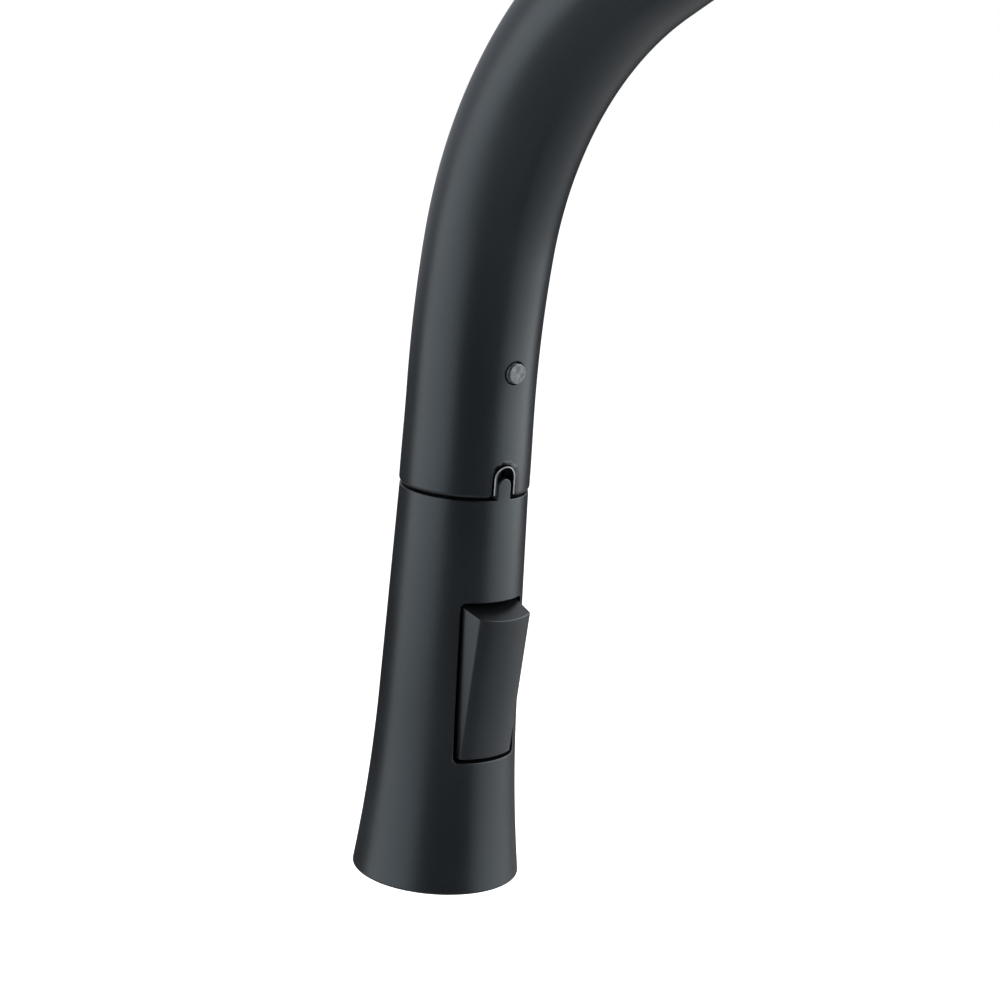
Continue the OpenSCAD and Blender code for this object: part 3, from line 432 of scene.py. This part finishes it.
# Above the cuts the tube is a plain grid of rings, down to its foot in the collar.
around = np.linspace(-math.pi, math.pi, sides + 1)[:-1]
top_ring = {round(a, 2): i for i, (a, s) in enumerate(spots) if abs(s - cut_top) < 1e-4}
ring = [top_ring[round(t * mouth_r, 2)] for t in around]
ring_in = [i + count for i in ring]
ring_normal = None
ring_gap, leg_rings = 2.2, 40
rings_s = np.concatenate([np.arange(cut_top, leg_from, ring_gap),
                          np.linspace(leg_from, neck_end, leg_rings)])
centres, inwards, onwards = on_path(rings_s)
points = list(points)
for centre, inward in zip(centres, inwards):
    outs = [math.cos(t) * inward + math.sin(t) * np.array([0, 1, 0]) for t in around]
    if ring_normal is not None:
        first = len(points)
        points += [centre + neck_r * o for o in outs] + [centre + bore_r * o for o in outs]
        new = list(range(first, first + sides))
        new_in = list(range(first + sides, first + 2 * sides))
        for k in range(sides):
            m = (k + 1) % sides
            faces.append([ring[k], ring[m], new[m], new[k]])
            normals.append([ring_normal[k], ring_normal[m], outs[m], outs[k]])
            faces.append([ring_in[m], ring_in[k], new_in[k], new_in[m]])
            normals.append([-ring_normal[m], -ring_normal[k], -outs[k], -outs[m]])
        ring, ring_in = new, new_in
    ring_normal = outs
for k in range(sides):
    m = (k + 1) % sides
    faces.append([ring[k], ring[m], ring_in[m], ring_in[k]])
    normals.append([onwards[-1]] * 4)
gooseneck = made("gooseneck", points, faces, normals, "spout")
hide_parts("neck_tube")


def surface(name, dark, light, roughness, metallic=0.0, grain=0.5, relief=0.02, patch=25,
            stretch=(1, 1, 1), **sockets):
    """A material whose tone wanders between two colours, with a fine grain in its relief.

    grain and patch are the sizes of the grain and of the tone's patches in millimetres, relief
    is the grain's depth, and stretch draws the grain out into lines.
    """
    finish = bpy.data.materials.new(name)
    finish.use_nodes = True
    tree = finish.node_tree
    shader = tree.nodes["Principled BSDF"]
    shader.inputs["Metallic"].default_value = metallic
    for socket, value in sockets.items():
        shader.inputs[socket.replace("_", " ")].default_value = value
    place = add(tree, "ShaderNodeTexCoord")
    drawn = add(tree, "ShaderNodeMapping", {"Scale": stretch}, Vector=(place, "Object"))
    cloud = add(tree, "ShaderNodeTexNoise", {"Scale": 1000 / patch, "Detail": 3.0},
                Vector=(place, "Object"))
    grit = add(tree, "ShaderNodeTexNoise", {"Scale": 1000 / grain, "Detail": 2.0}, Vector=drawn)
    # The grain shows in the tone at a third of the patches' strength.
    both = add(tree, "ShaderNodeMath", {"operation": "MULTIPLY_ADD", 1: 0.35}, _0=grit, _2=cloud)
    tone = add(tree, "ShaderNodeMapRange", {"From Min": 0.5, "From Max": 0.85}, Value=both)
    mix = add(tree, "ShaderNodeMix", {"data_type": "RGBA", 6: colour(dark), 7: colour(light)},
              _0=tone)
    tree.links.new(mix.outputs[2], shader.inputs["Base Color"])
    rough = add(tree, "ShaderNodeMapRange",
                {"To Min": roughness - 0.05, "To Max": roughness + 0.05}, Value=both)
    tree.links.new(rough.outputs[0], shader.inputs["Roughness"])
    bump = add(tree, "ShaderNodeBump", {"Distance": relief / 1000, "Strength": 0.6}, Height=grit)
    tree.links.new(bump.outputs[0], shader.inputs["Normal"])
    return finish


# Powder coat: a melted polyester film. Its fine orange peel spreads every highlight into a soft
# band, and the carbon black in it leaves a cool grey sheen. The peel is drawn at 0.6 mm.
powder = surface("matt_black_powder_coat", "#0B0D0F", "#101215", 0.34, grain=0.6, relief=0.012,
                 Specular_Tint=colour("#E4F4FF"))
gooseneck.data.materials.append(powder)

# ---- Head shell ----
# Glass-filled nylon, moulded with a narrow tab that keys it into the neck's notch, a flare to
# the spray face and a window for the rocker, then sprayed to match the neck.
seam, head_drop, flare_from = 0.55, 102.5, 55.0
head_top_r, waist_r, rim_r, rim_round, head_wall, roof = 16.3, 17.75, 21.6, 0.6, 2.0, 2.2
tab_w, tab_h, tab_y, tab_in_r, roof_r = 4.2, 4.9, -0.4, 13.2, 12.3
window_top, window_len, window_w, window_corner = 26.8, 41.5, 19.5, 1.2

taper = math.atan((waist_r - head_top_r) / (flare_from - seam))
flare_len, flare_rise = head_drop - flare_from, rim_r - waist_r
flare_R = (flare_len ** 2 + flare_rise ** 2) \
    / (2 * (flare_rise * math.cos(taper) - flare_len * math.sin(taper)))


def head_r(drop):
    """Radius of the head at a distance below the mouth: a cone, then a hollow flare."""
    cone = head_top_r + (np.maximum(drop, 0) - seam) * math.tan(taper)
    down = np.maximum(drop, flare_from) - flare_from + flare_R * math.sin(taper)
    flare = waist_r + flare_R * math.cos(taper) - np.sqrt(flare_R ** 2 - down ** 2)
    return np.where(drop < seam, head_top_r, np.where(drop < flare_from, cone, flare))


# Rows for the tab, then down the shell. The surface takes up its taper over the first 1.7 mm.
settle, head_edge = 1.7, 0.32
rows = [(6.5, head_top_r, 0), (3.5, head_top_r, 0), (0.9, head_top_r, 0)]
for drop in np.concatenate([[0.1, 0.5, 1.0, settle], np.linspace(2.6, head_drop - rim_round, 82)]):
    slope = math.atan(float(head_r(drop + 0.01) - head_r(drop - 0.01)) / 0.02) \
        if drop >= settle else taper * drop / settle
    rows.append((-drop, float(head_r(drop)), slope))
for a in np.radians([15, 30, 45, 60, 75, 90]):
    drop = head_drop - rim_round * (1 - math.sin(a))
    rows.append((-drop, float(head_r(drop)) - rim_round * (1 - math.cos(a)), -a))

# The top edge runs round from the back, up the tab by a filleted foot, and round again.
half, foot = tab_w / 2, 0.5
bow = np.radians(np.arange(10, 91, 10))
side_up = np.linspace(-seam + foot, tab_h - half, 12)
bend_a = np.radians([75, 50, 25])
right_y = np.concatenate([half + foot - foot * np.cos(bend_a), np.full(len(side_up), half),
                          half * np.cos(bow)])
right_z = np.concatenate([-seam + foot - foot * np.sin(bend_a), side_up,
                          tab_h - half + half * np.sin(bow)])
edge_turn = np.linspace(math.pi, math.asin((half + foot) / head_top_r), 118)
right_line = np.concatenate([np.stack([edge_turn * mouth_r, np.full(len(edge_turn), -seam)], 1),
                             np.stack([np.arcsin(right_y / head_top_r) * mouth_r, right_z], 1)])
left_line = right_line[::-1] * [-1, 1]
top_line = np.concatenate([right_line, left_line[left_line[:, 0] < -1e-6]])
# The tab stands a little to one side. The shift fades out towards the back.
top_line[:, 0] += tab_y * np.clip((math.pi - np.abs(top_line[:, 0]) / mouth_r) / 1.7, 0, 1)

# The window is a rectangle with round corners, with a point every half millimetre.
flat_y, flat_z = window_w / 2 - window_corner, window_len / 2 - window_corner
middle = -window_top - window_len / 2
corners = ((1, 1, 0), (-1, 1, 90), (-1, -1, 180), (1, -1, 270))
loop = [(sy * flat_y + window_corner * math.cos(a), sz * flat_z + window_corner * math.sin(a))
        for sy, sz, from_a in corners for a in np.radians(np.arange(from_a, from_a + 91, 18))]
dense = []
for (y0, z0), (y1, z1) in zip(loop, loop[1:] + loop[:1]):
    steps = max(1, round(math.hypot(y1 - y0, z1 - z0) / 0.5))
    dense += [(y0 + (y1 - y0) * i / steps, middle + z0 + (z1 - z0) * i / steps)
              for i in range(steps)]
dense = np.array(dense)
window = np.stack([np.arcsin(dense[:, 0] / head_r(-dense[:, 1])) * mouth_r, dense[:, 1]], 1)[::-1]


def in_head(a, s):
    """Where the head's shell is whole, on the unrolled surface."""
    y = np.sin(a / mouth_r) * head_r(-s)
    front = np.abs(a) < 1.4 * mouth_r
    side = np.abs(np.sin((a - tab_y) / mouth_r) * head_top_r)
    above = s - tab_h + half
    in_tab = front & (side < half) & ((above < 0) | (np.hypot(side, above) < half))
    in_foot = front & (side < half + foot) & (s < -seam + foot) \
        & (np.hypot(side - half - foot, s + seam - foot) > foot)
    dy = np.maximum(np.abs(y) - flat_y, 0)
    dz = np.maximum(np.abs(s - middle) - flat_z, 0)
    in_window = front & (np.hypot(dy, dz) < window_corner - 0.005)
    return ((s < -seam) | in_tab | in_foot) & ~in_window


def head_bore(s):
    """Radius of the shell's inside: the tab's back, the roof's hole, then the wall."""
    below_roof = np.where(s > -seam - roof, roof_r, head_r(-s) - head_wall)
    return np.where(s > -seam + 0.2, tab_in_r, below_roof)


points, faces, normals, spots, count = pierced(
    rows, [(top_line, False), (window, True)], in_head, head_edge, head_bore, None)
head = made("head_shell_fine", points, faces, normals, "head")
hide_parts("head_shell")
# Sprayed nylon: the same black as the powder coat, in a thinner and smoother film.
spray = surface("sprayed_nylon", "#0B0D0F", "#0F1214", 0.34, grain=0.5, relief=0.008,
                Specular_Tint=colour("#E4F4FF"))
head.data.materials.append(spray)

# ---- Rocker ----
# The paddle that tips between stream and spray: acetal, moulded with crisp edges and a fine
# spark-eroded texture. It turns on a steel pin, and its finger works the diverter behind.
pivot_x, rocker_swing, crest_proud, crest_drop = 8.5, 15.5, 4.8, 30.1
paddle_w, paddle_back_w, paddle_gap, back_top_x, back_low_x = 16.4, 18.2, 0.9, 4.0, 0.8
hub_r, hub_half, hub_edge, pin_hole = 3.4, 8.1, 0.3, 1.31
finger_x, finger_r, finger_neck, finger_from = 1.2, 1.15, 0.9, 3

# The face slopes straight up from its low end to a crest, where the end wall meets it, and
# across it is as round as the shell.
pivot_drop = window_top + window_len / 2
end_reach = window_len / 2 - paddle_gap
low_x = float(head_r(pivot_drop + end_reach)) - pivot_x
crest_x = float(head_r(crest_drop)) + crest_proud - pivot_x
crest_z = pivot_drop - crest_drop
end_tilt = math.radians(rocker_swing - 0.5)
end_line = crest_x * math.sin(end_tilt) + crest_z * math.cos(end_tilt)
face_lean = (crest_x - low_x) / (crest_z + end_reach)
face_r = float(head_r(pivot_drop))


def at_mouth(points):
    """Points given from the mouth along its own axes, in millimetres, as points in the world."""
    centre, inwards, onwards = on_path(np.zeros(1))
    points = np.asarray(points, float)
    return centre + points[:, :1] * inwards + points[:, 1:2] * np.array([0, 1, 0]) \
        + points[:, 2:] * onwards


points, faces = [], []
columns, steps = np.linspace(-paddle_w / 2, paddle_w / 2, 25), 30
for y in columns:
    sag = face_r - math.sqrt(face_r ** 2 - y * y)
    top = (end_line - math.sin(end_tilt) * (low_x + end_reach * face_lean - sag)) \
        / (math.cos(end_tilt) + face_lean * math.sin(end_tilt))
    for z in np.linspace(-end_reach, top, steps):
        points.append((low_x + (z + end_reach) * face_lean - sag, y, z))
for i in range(len(columns) - 1):
    for k in range(steps - 1):
        faces.append((i * steps + k, (i + 1) * steps + k, (i + 1) * steps + k + 1,
                      i * steps + k + 1))
# Its two sides, its two ends and its back, round four corners at the back.
last = (len(columns) - 1) * steps
back = len(points)
back_top_z = (end_line - back_top_x * math.sin(end_tilt)) / math.cos(end_tilt)
points += [(x, side * paddle_back_w / 2, z) for side in (-1, 1)
           for x, z in ((back_low_x, -end_reach), (back_top_x, back_top_z))]
faces.append(list(range(steps)) + [back + 1, back])
faces.append([last + k for k in range(steps - 1, -1, -1)] + [back + 2, back + 3])
faces.append([i * steps for i in range(len(columns) - 1, -1, -1)] + [back, back + 2])
faces.append([i * steps + steps - 1 for i in range(len(columns))] + [back + 3, back + 1])
faces.append((back, back + 1, back + 3, back + 2))
points = [(x + pivot_x, y, z - pivot_drop) for x, y, z in points]
paddle = made("paddle", at_mouth(points), faces, None, "rocker")
paddle.data.polygons.foreach_set("use_smooth", [True] * len(faces))
edges = paddle.modifiers.new("edges", "BEVEL")
edges.width = 0.0003
edges.segments = 3
edges.angle_limit = math.radians(32)
edges.harden_normals = True


def turned(outline, sides=48):
    """Points and faces of a closed outline of (radius, height) pairs turned round the Z axis."""
    points = [(r * math.cos(a), r * math.sin(a), z) for r, z in outline
              for a in np.linspace(0, 2 * math.pi, sides, endpoint=False)]
    faces = []
    for i in range(len(outline) - 1):
        for k in range(sides):
            m = (k + 1) % sides
            faces.append((i * sides + k, i * sides + m, (i + 1) * sides + m, (i + 1) * sides + k))
    return np.array(points), faces


# Hub and finger, behind the face: turned shapes laid along the pin and along the finger.
hub, hub_faces = turned([(pin_hole, -hub_half), (hub_r - hub_edge, -hub_half),
                         (hub_r, hub_edge - hub_half), (hub_r, hub_half - hub_edge),
                         (hub_r - hub_edge, hub_half), (pin_hole, hub_half),
                         (pin_hole, -hub_half)], 40)
hub = np.stack([hub[:, 0] + pivot_x, hub[:, 2], hub[:, 1] - pivot_drop], 1)
finger_len = pivot_x - finger_x - finger_from
finger, finger_faces = turned([(0.02, 0), (finger_neck, 0), (finger_neck, finger_len - 0.9)]
                              + [(finger_r * math.sin(a), finger_len - finger_r * math.cos(a))
                                 for a in np.radians([55, 75, 95, 115, 135, 155, 179])], 32)
# At rest the paddle is tipped one way, and the finger leans by half the swing, so that it
# swings evenly about the middle.
droop = math.radians(rocker_swing / 2)
reach_in = finger[:, 2] + finger_from
finger = np.stack([pivot_x - reach_in * math.cos(droop) + finger[:, 0] * math.sin(droop),
                   finger[:, 1],
                   -pivot_drop + reach_in * math.sin(droop) + finger[:, 0] * math.cos(droop)], 1)
faces = hub_faces + [[i + len(hub) for i in f] for f in finger_faces]
hub_piece = made("paddle_hub", at_mouth(np.concatenate([hub, finger])), faces, None,
                 "rocker")
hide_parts("rocker_paddle")
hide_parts("rocker_paddle")
# Acetal: dull black with a soft waxy sheen. The mould's texture is drawn at 0.5 mm.
acetal = surface("moulded_acetal", "#0B0C0E", "#111416", 0.34, grain=0.5, relief=0.01,
                 Specular_Tint=colour("#E8F5FF"))
for piece in (paddle, hub_piece):
    piece.data.materials.append(acetal)

# ---- Snap button ----
# A turned brass button in satin nickel, sprung outwards through the hole in the neck. It catches
# the dock and is pressed to free it. Its face is ground flat over a groove in its side.
button_r, flange_r, flange_t, button_back, button_proud = 2.55, 3.2, 1.6, 12.1, 1.0
chamfer, groove_low, groove_top, groove_in, rim_edge = 0.2, 0.78, 0.42, 0.4, 0.22
face_x = neck_r + button_proud
# From the middle of the back, over the flange, up the side with its groove, and over the rim.
outline = [(0.01, button_back), (flange_r - chamfer, button_back),
           (flange_r, button_back + chamfer), (flange_r, button_back + flange_t),
           (button_r, button_back + flange_t), (button_r, face_x - groove_low - 0.07),
           (button_r - 0.06, face_x - groove_low), (button_r - groove_in, face_x - groove_low),
           (button_r - groove_in, face_x - groove_top)]
outline += [(button_r - rim_edge + rim_edge * math.cos(a),
             face_x - rim_edge + rim_edge * math.sin(a))
            for a in np.radians([-75, -40, 0, 20, 40, 60, 80, 90])]
outline += [(1.2, face_x), (0.01, face_x)]
lathed, faces = turned(outline, 64)
points = np.stack([lathed[:, 2], -lathed[:, 1], lathed[:, 0] + button_z], 1)
button = made("button", at_mouth(points), [f[::-1] for f in faces], None,
              "button")
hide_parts("snap_button")


def smooth(piece, angle=40):
    """Shades a piece smoothly, with a crease where its faces meet at more than an angle."""
    mesh = piece.data
    mesh.polygons.foreach_set("use_smooth", [True] * len(mesh.polygons))
    mesh.set_sharp_from_angle(angle=math.radians(angle))


smooth(button, 60)
smooth(hub_piece)
# Satin nickel: grey in small patches, with lines left by grinding drawn out across the face.
nickel_satin = surface("satin_nickel_button", "#3E4246", "#6A6E72", 0.34, metallic=0.35,
                       grain=0.5, relief=0.03, patch=1.4, stretch=(1, 2.6, 0.6))
button.data.materials.append(nickel_satin)

# ---- Dock lip and its painted highlight ----
# The docking sleeve shows in the notch as a thin lip. Along its edge runs a thin pale bead,
# a painted highlight that draws a light line all round the arch.
lip_y, lip_side, lip_foot, lip_spring, lip_r, bead_r = 3.05, -0.25, 0.7, 4.8, 15.98, 0.15
bow = np.radians(np.arange(9, 172, 9))
lip_leg = [(lip_y, z) for z in np.linspace(lip_foot, lip_spring, 8)]
lip_line = lip_leg + [(lip_y * math.cos(a), lip_spring + lip_y * math.sin(a)) for a in bow] \
    + [(-y, z) for y, z in lip_leg[::-1]]
lip_line = [(y + lip_side, z) for y, z in lip_line]


def swept(path, radius, sides):
    """A round bar along a path in millimetres, as points, faces and places.

    A face's places are the distances round and along the bar at its corners, in metres.
    """
    path = np.asarray(path, float)
    ahead = np.gradient(path, axis=0)
    ahead /= np.linalg.norm(ahead, axis=1)[:, None]
    along = np.concatenate([[0], np.cumsum(np.linalg.norm(np.diff(path, axis=0), axis=1))])
    side = np.cross(ahead[0], [0.0, 1.0, 0.0] if abs(ahead[0][1]) < 0.9 else [1.0, 0.0, 0.0])
    points, places, faces = [], [], []
    turns = np.linspace(0, 2 * math.pi, sides, endpoint=False)
    for i, (centre, way) in enumerate(zip(path, ahead)):
        side = side - way * side.dot(way)
        side /= np.linalg.norm(side)
        other = np.cross(way, side)
        points += [centre + radius * (math.cos(t) * side + math.sin(t) * other) for t in turns]
        if not i:
            continue
        low, high = along[i - 1] / 1000, along[i] / 1000
        for k in range(sides):
            m = (k + 1) % sides
            faces.append(((i - 1) * sides + k, (i - 1) * sides + m, i * sides + m, i * sides + k))
            here, there = (c * radius * 2 * math.pi / sides / 1000 for c in (k, k + 1))
            places.append([(here, low), (there, low), (there, high), (here, high)])
    return np.array(points), faces, places


bar_sides = 10
lip_path = at_mouth([(math.sqrt(lip_r ** 2 - y * y), y, z) for y, z in lip_line])
lip_points, faces, _ = swept(lip_path, bead_r, bar_sides)
faces += [list(range(bar_sides))[::-1],
          list(range(len(lip_points) - bar_sides, len(lip_points)))]
highlight_bead = made("dock_lip_painted_highlight", lip_points, faces, None, "spout")
smooth(highlight_bead, 70)
# A pale grey on the bead: the painted highlight along the lip's edge.
painted_highlight = surface("painted_highlight_edge", "#9DA0A2", "#C6C9CB", 0.32, grain=0.6, relief=0.005,
                 patch=4)
highlight_bead.data.materials.append(painted_highlight)

# ---- Button spring ----
# A coil of steel wire between the dock's seat and the button's back, with a hair of play at
# each end. It shortens as the button is pressed.
coil_r, wire_r, seat_x, coil_turns, play = 2.0, 0.25, 8.6, 3.0, 0.03
share = np.linspace(0, 1, 91)
lap = 2 * math.pi * coil_turns * share
coil_x = seat_x + wire_r + play + (button_back - seat_x - 2 * wire_r - 2 * play) * share
coil_line = at_mouth(np.stack([coil_x, coil_r * np.cos(lap), button_z + coil_r * np.sin(lap)], 1))
wire_points, faces, _ = swept(coil_line, wire_r, bar_sides)
faces += [list(range(bar_sides))[::-1],
          list(range(len(wire_points) - bar_sides, len(wire_points)))]
coil = made("button_coil", wire_points, faces, None, "spout")
smooth(coil, 70)
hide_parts("button_spring")
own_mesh(coil)

# ---- Spray hose ----
# Silicone hose under a braid of grey nylon whose valleys carry painted shade, crimped at both
# ends. It runs from the head's nut through the neck, and on down through body and shank. The
# length in the neck's mouth is drawn out when the head is pulled down.
hose_r, hose_bore, hose_sides, hose_step = 6.0, 4.0, 36, 2.5


def hose(name, path, body):
    """A braided hose with its wall and its bore, along a path in millimetres."""
    outside, faces, places = swept(path, hose_r, hose_sides)
    inside, _, _ = swept(path, hose_bore, hose_sides)
    shift = len(outside)
    inner = [tuple(i + shift for i in f[::-1]) for f in faces]
    inner_places = [p[::-1] for p in places]
    ends, end_places = [], []
    for base, flip in ((0, True), (shift - hose_sides, False)):
        for k in range(hose_sides):
            m = (k + 1) % hose_sides
            ring = (base + k, base + m, base + m + shift, base + k + shift)
            ends.append(ring[::-1] if flip else ring)
            end_places.append([(0, 0)] * 4)
    piece = made(name, np.concatenate([outside, inside]), faces + inner + ends, None,
                 body)
    layer = piece.data.uv_layers.new(name="braid")
    flat = [v for quad in places + inner_places + end_places for place in quad for v in place]
    layer.data.foreach_set("uv", flat)
    smooth(piece, 60)
    return piece


# The upper hose ends where the lower one begins, in the body under the spout's foot.
nut_top, drawn_top, join_z = 13.4, 79.4, 150.3
hose_end = neck_end + leg_z - join_z
upper_path, _, _ = on_path(np.append(np.arange(drawn_top, hose_end, hose_step), hose_end))
hose_upper = hose("spray_hose_upper", upper_path[::-1], "spout")
drawn_path, _, _ = on_path(np.linspace(nut_top, drawn_top, 67))
hose_drawn = hose("spray_hose_drawn", drawn_path[::-1], None)
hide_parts("hose_upper")
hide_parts("hose_upper")
# The lower hose steps aside by two bows below the swivel.
aside, bow_r, mid_z, high_z, low_z = 8.0, 60.0, 80.0, 150.0, -95.0
half_bow = bow_r * math.sin(math.acos(1 - aside / (2 * bow_r)))
z = np.arange(high_z, low_z - 0.1, -hose_step)
up_part = bow_r - np.sqrt(bow_r ** 2 - np.clip(mid_z + half_bow - z, 0, half_bow) ** 2)
low_part = bow_r - np.sqrt(bow_r ** 2 - np.clip(z - mid_z + half_bow, 0, half_bow) ** 2)
step_aside = np.where(z > mid_z, up_part, aside - low_part)
hose_lower = hose("spray_hose_lower", np.stack([0 * z, step_aside, z], 1), "base")
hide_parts("hose_lower")

# Nylon braid: threads 1.1 mm wide cross at 45 degrees. Each crown is the thread's grey, and
# the valleys between them are darkened nearly to black as painted shade. A wave texture of
# scale n repeats every 2 pi / 20 / n metres.
thread_w = 0.0011
braid = bpy.data.materials.new("nylon_braid_painted_valley_shade")
braid.use_nodes = True
tree = braid.node_tree
shader = tree.nodes["Principled BSDF"]
shader.inputs["Roughness"].default_value = 0.55
place = add(tree, "ShaderNodeUVMap", {"uv_map": "braid"})
waves = []
for turn in (math.pi / 4, -math.pi / 4):
    turned_place = add(tree, "ShaderNodeMapping", {"Rotation": (0, 0, turn)}, Vector=place)
    waves.append(add(tree, "ShaderNodeTexWave",
                     {"Scale": 2 * math.pi / 20 / (2 * thread_w), "Distortion": 0.0},
                     Vector=turned_place))
weave = add(tree, "ShaderNodeMath", {"operation": "MAXIMUM"}, _0=(waves[0], "Fac"),
            _1=(waves[1], "Fac"))
# Painted shade: the lower the weave, the darker its colour, down to near black in the valleys.
tone = add(tree, "ShaderNodeMapRange", {"From Min": 0.3, "From Max": 1.0}, Value=weave)
mix = add(tree, "ShaderNodeMix", {"data_type": "RGBA", 6: colour("#1B1C1E"), 7: colour("#6E7276")},
          _0=tone)
tree.links.new(mix.outputs[2], shader.inputs["Base Color"])
bump = add(tree, "ShaderNodeBump", {"Distance": 0.0003, "Strength": 0.8}, Height=weave)
tree.links.new(bump.outputs[0], shader.inputs["Normal"])
for piece in (hose_upper, hose_drawn, hose_lower):
    piece.data.materials.append(braid)
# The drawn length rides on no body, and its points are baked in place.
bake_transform(hose_drawn)

# ---- Finishes of the carried-over solids ----
# Each solid of the body, cartridge, dock, spray face and deck fittings keeps its own shape and
# gets the finish of what it is made of, by its slot in the record.
finishes = {
    # Turned brass: tool marks run round the part, and the alloy has dulled a little.
    "brass": surface("turned_brass", "#A8853F", "#C9A75E", 0.3, metallic=1.0, grain=0.5,
                     relief=0.01, stretch=(0.05, 0.05, 1)),
    # Drawn copper: long draw lines under a thin brown tarnish.
    "copper": surface("drawn_copper", "#9A5B39", "#C98259", 0.3, metallic=1.0, grain=0.6,
                      relief=0.008, stretch=(1, 1, 0.05), patch=14),
    # Zinc-plated or stainless steel, left as rolled and turned.
    "steel": surface("plain_steel", "#8E9295", "#B5B8BA", 0.32, metallic=1.0, grain=0.5,
                     relief=0.01, stretch=(0.1, 0.1, 1)),
    # Nickel-plated brass: bright and slightly warm, with a faint orange peel.
    "nickel": surface("nickel_plate", "#A9A7A1", "#C9C7C1", 0.2, metallic=1.0, grain=0.8,
                      relief=0.006),
    # Moulded nitrile rubber, dusted with talc.
    "rubber": surface("nitrile_rubber", "#17181A", "#222426", 0.7, grain=0.6, relief=0.02, patch=8),
    # Moulded acetal, natural white, a little cloudy.
    "white_moulding": surface("natural_acetal", "#CFCBBF", "#DEDBD1", 0.4, grain=0.7,
                              relief=0.008, patch=12),
    # Moulded polypropylene, dyed blue, with the fine texture of its mould.
    "blue_moulding": surface("blue_polypropylene", "#24558C", "#2F69A8", 0.4, grain=0.6,
                             relief=0.01, patch=6),
    # Sintered alumina: lapped nearly to a mirror.
    "ceramic": surface("lapped_alumina", "#E4E0D6", "#EDEAE2", 0.15, grain=0.4, relief=0.002,
                       patch=9),
    # Moulded silicone: soft grey with a slightly greasy sheen.
    "silicone": surface("silicone_nozzles", "#3A3C40", "#4A4D52", 0.5, grain=0.6, relief=0.01,
                        patch=5),
    # Satin grey acetal, as moulded.
    "grey_moulding": surface("satin_grey_acetal", "#6C7074", "#7F8387", 0.4, grain=0.5,
                             relief=0.01, patch=7),
    "black_metal": powder,
    "black_shell": spray,
    "black_moulding": acetal}
for part in frame["record"]["subparts"]:
    node = nodes[part["node"]]
    node.data.materials.clear()
    node.data.materials.append(finishes.get(part["material_slot"], braid))
# The sleeve behind its painted highlight bead, the spigot in the seam and the swivel's washer
# get the black acetal in place of their own finish, as painted shade, so that they don't show
# in the gaps of a black faucet.
for name in ("dock_sleeve", "head_spigot", "thrust_washer"):
    nodes[name].data.materials[0] = acetal
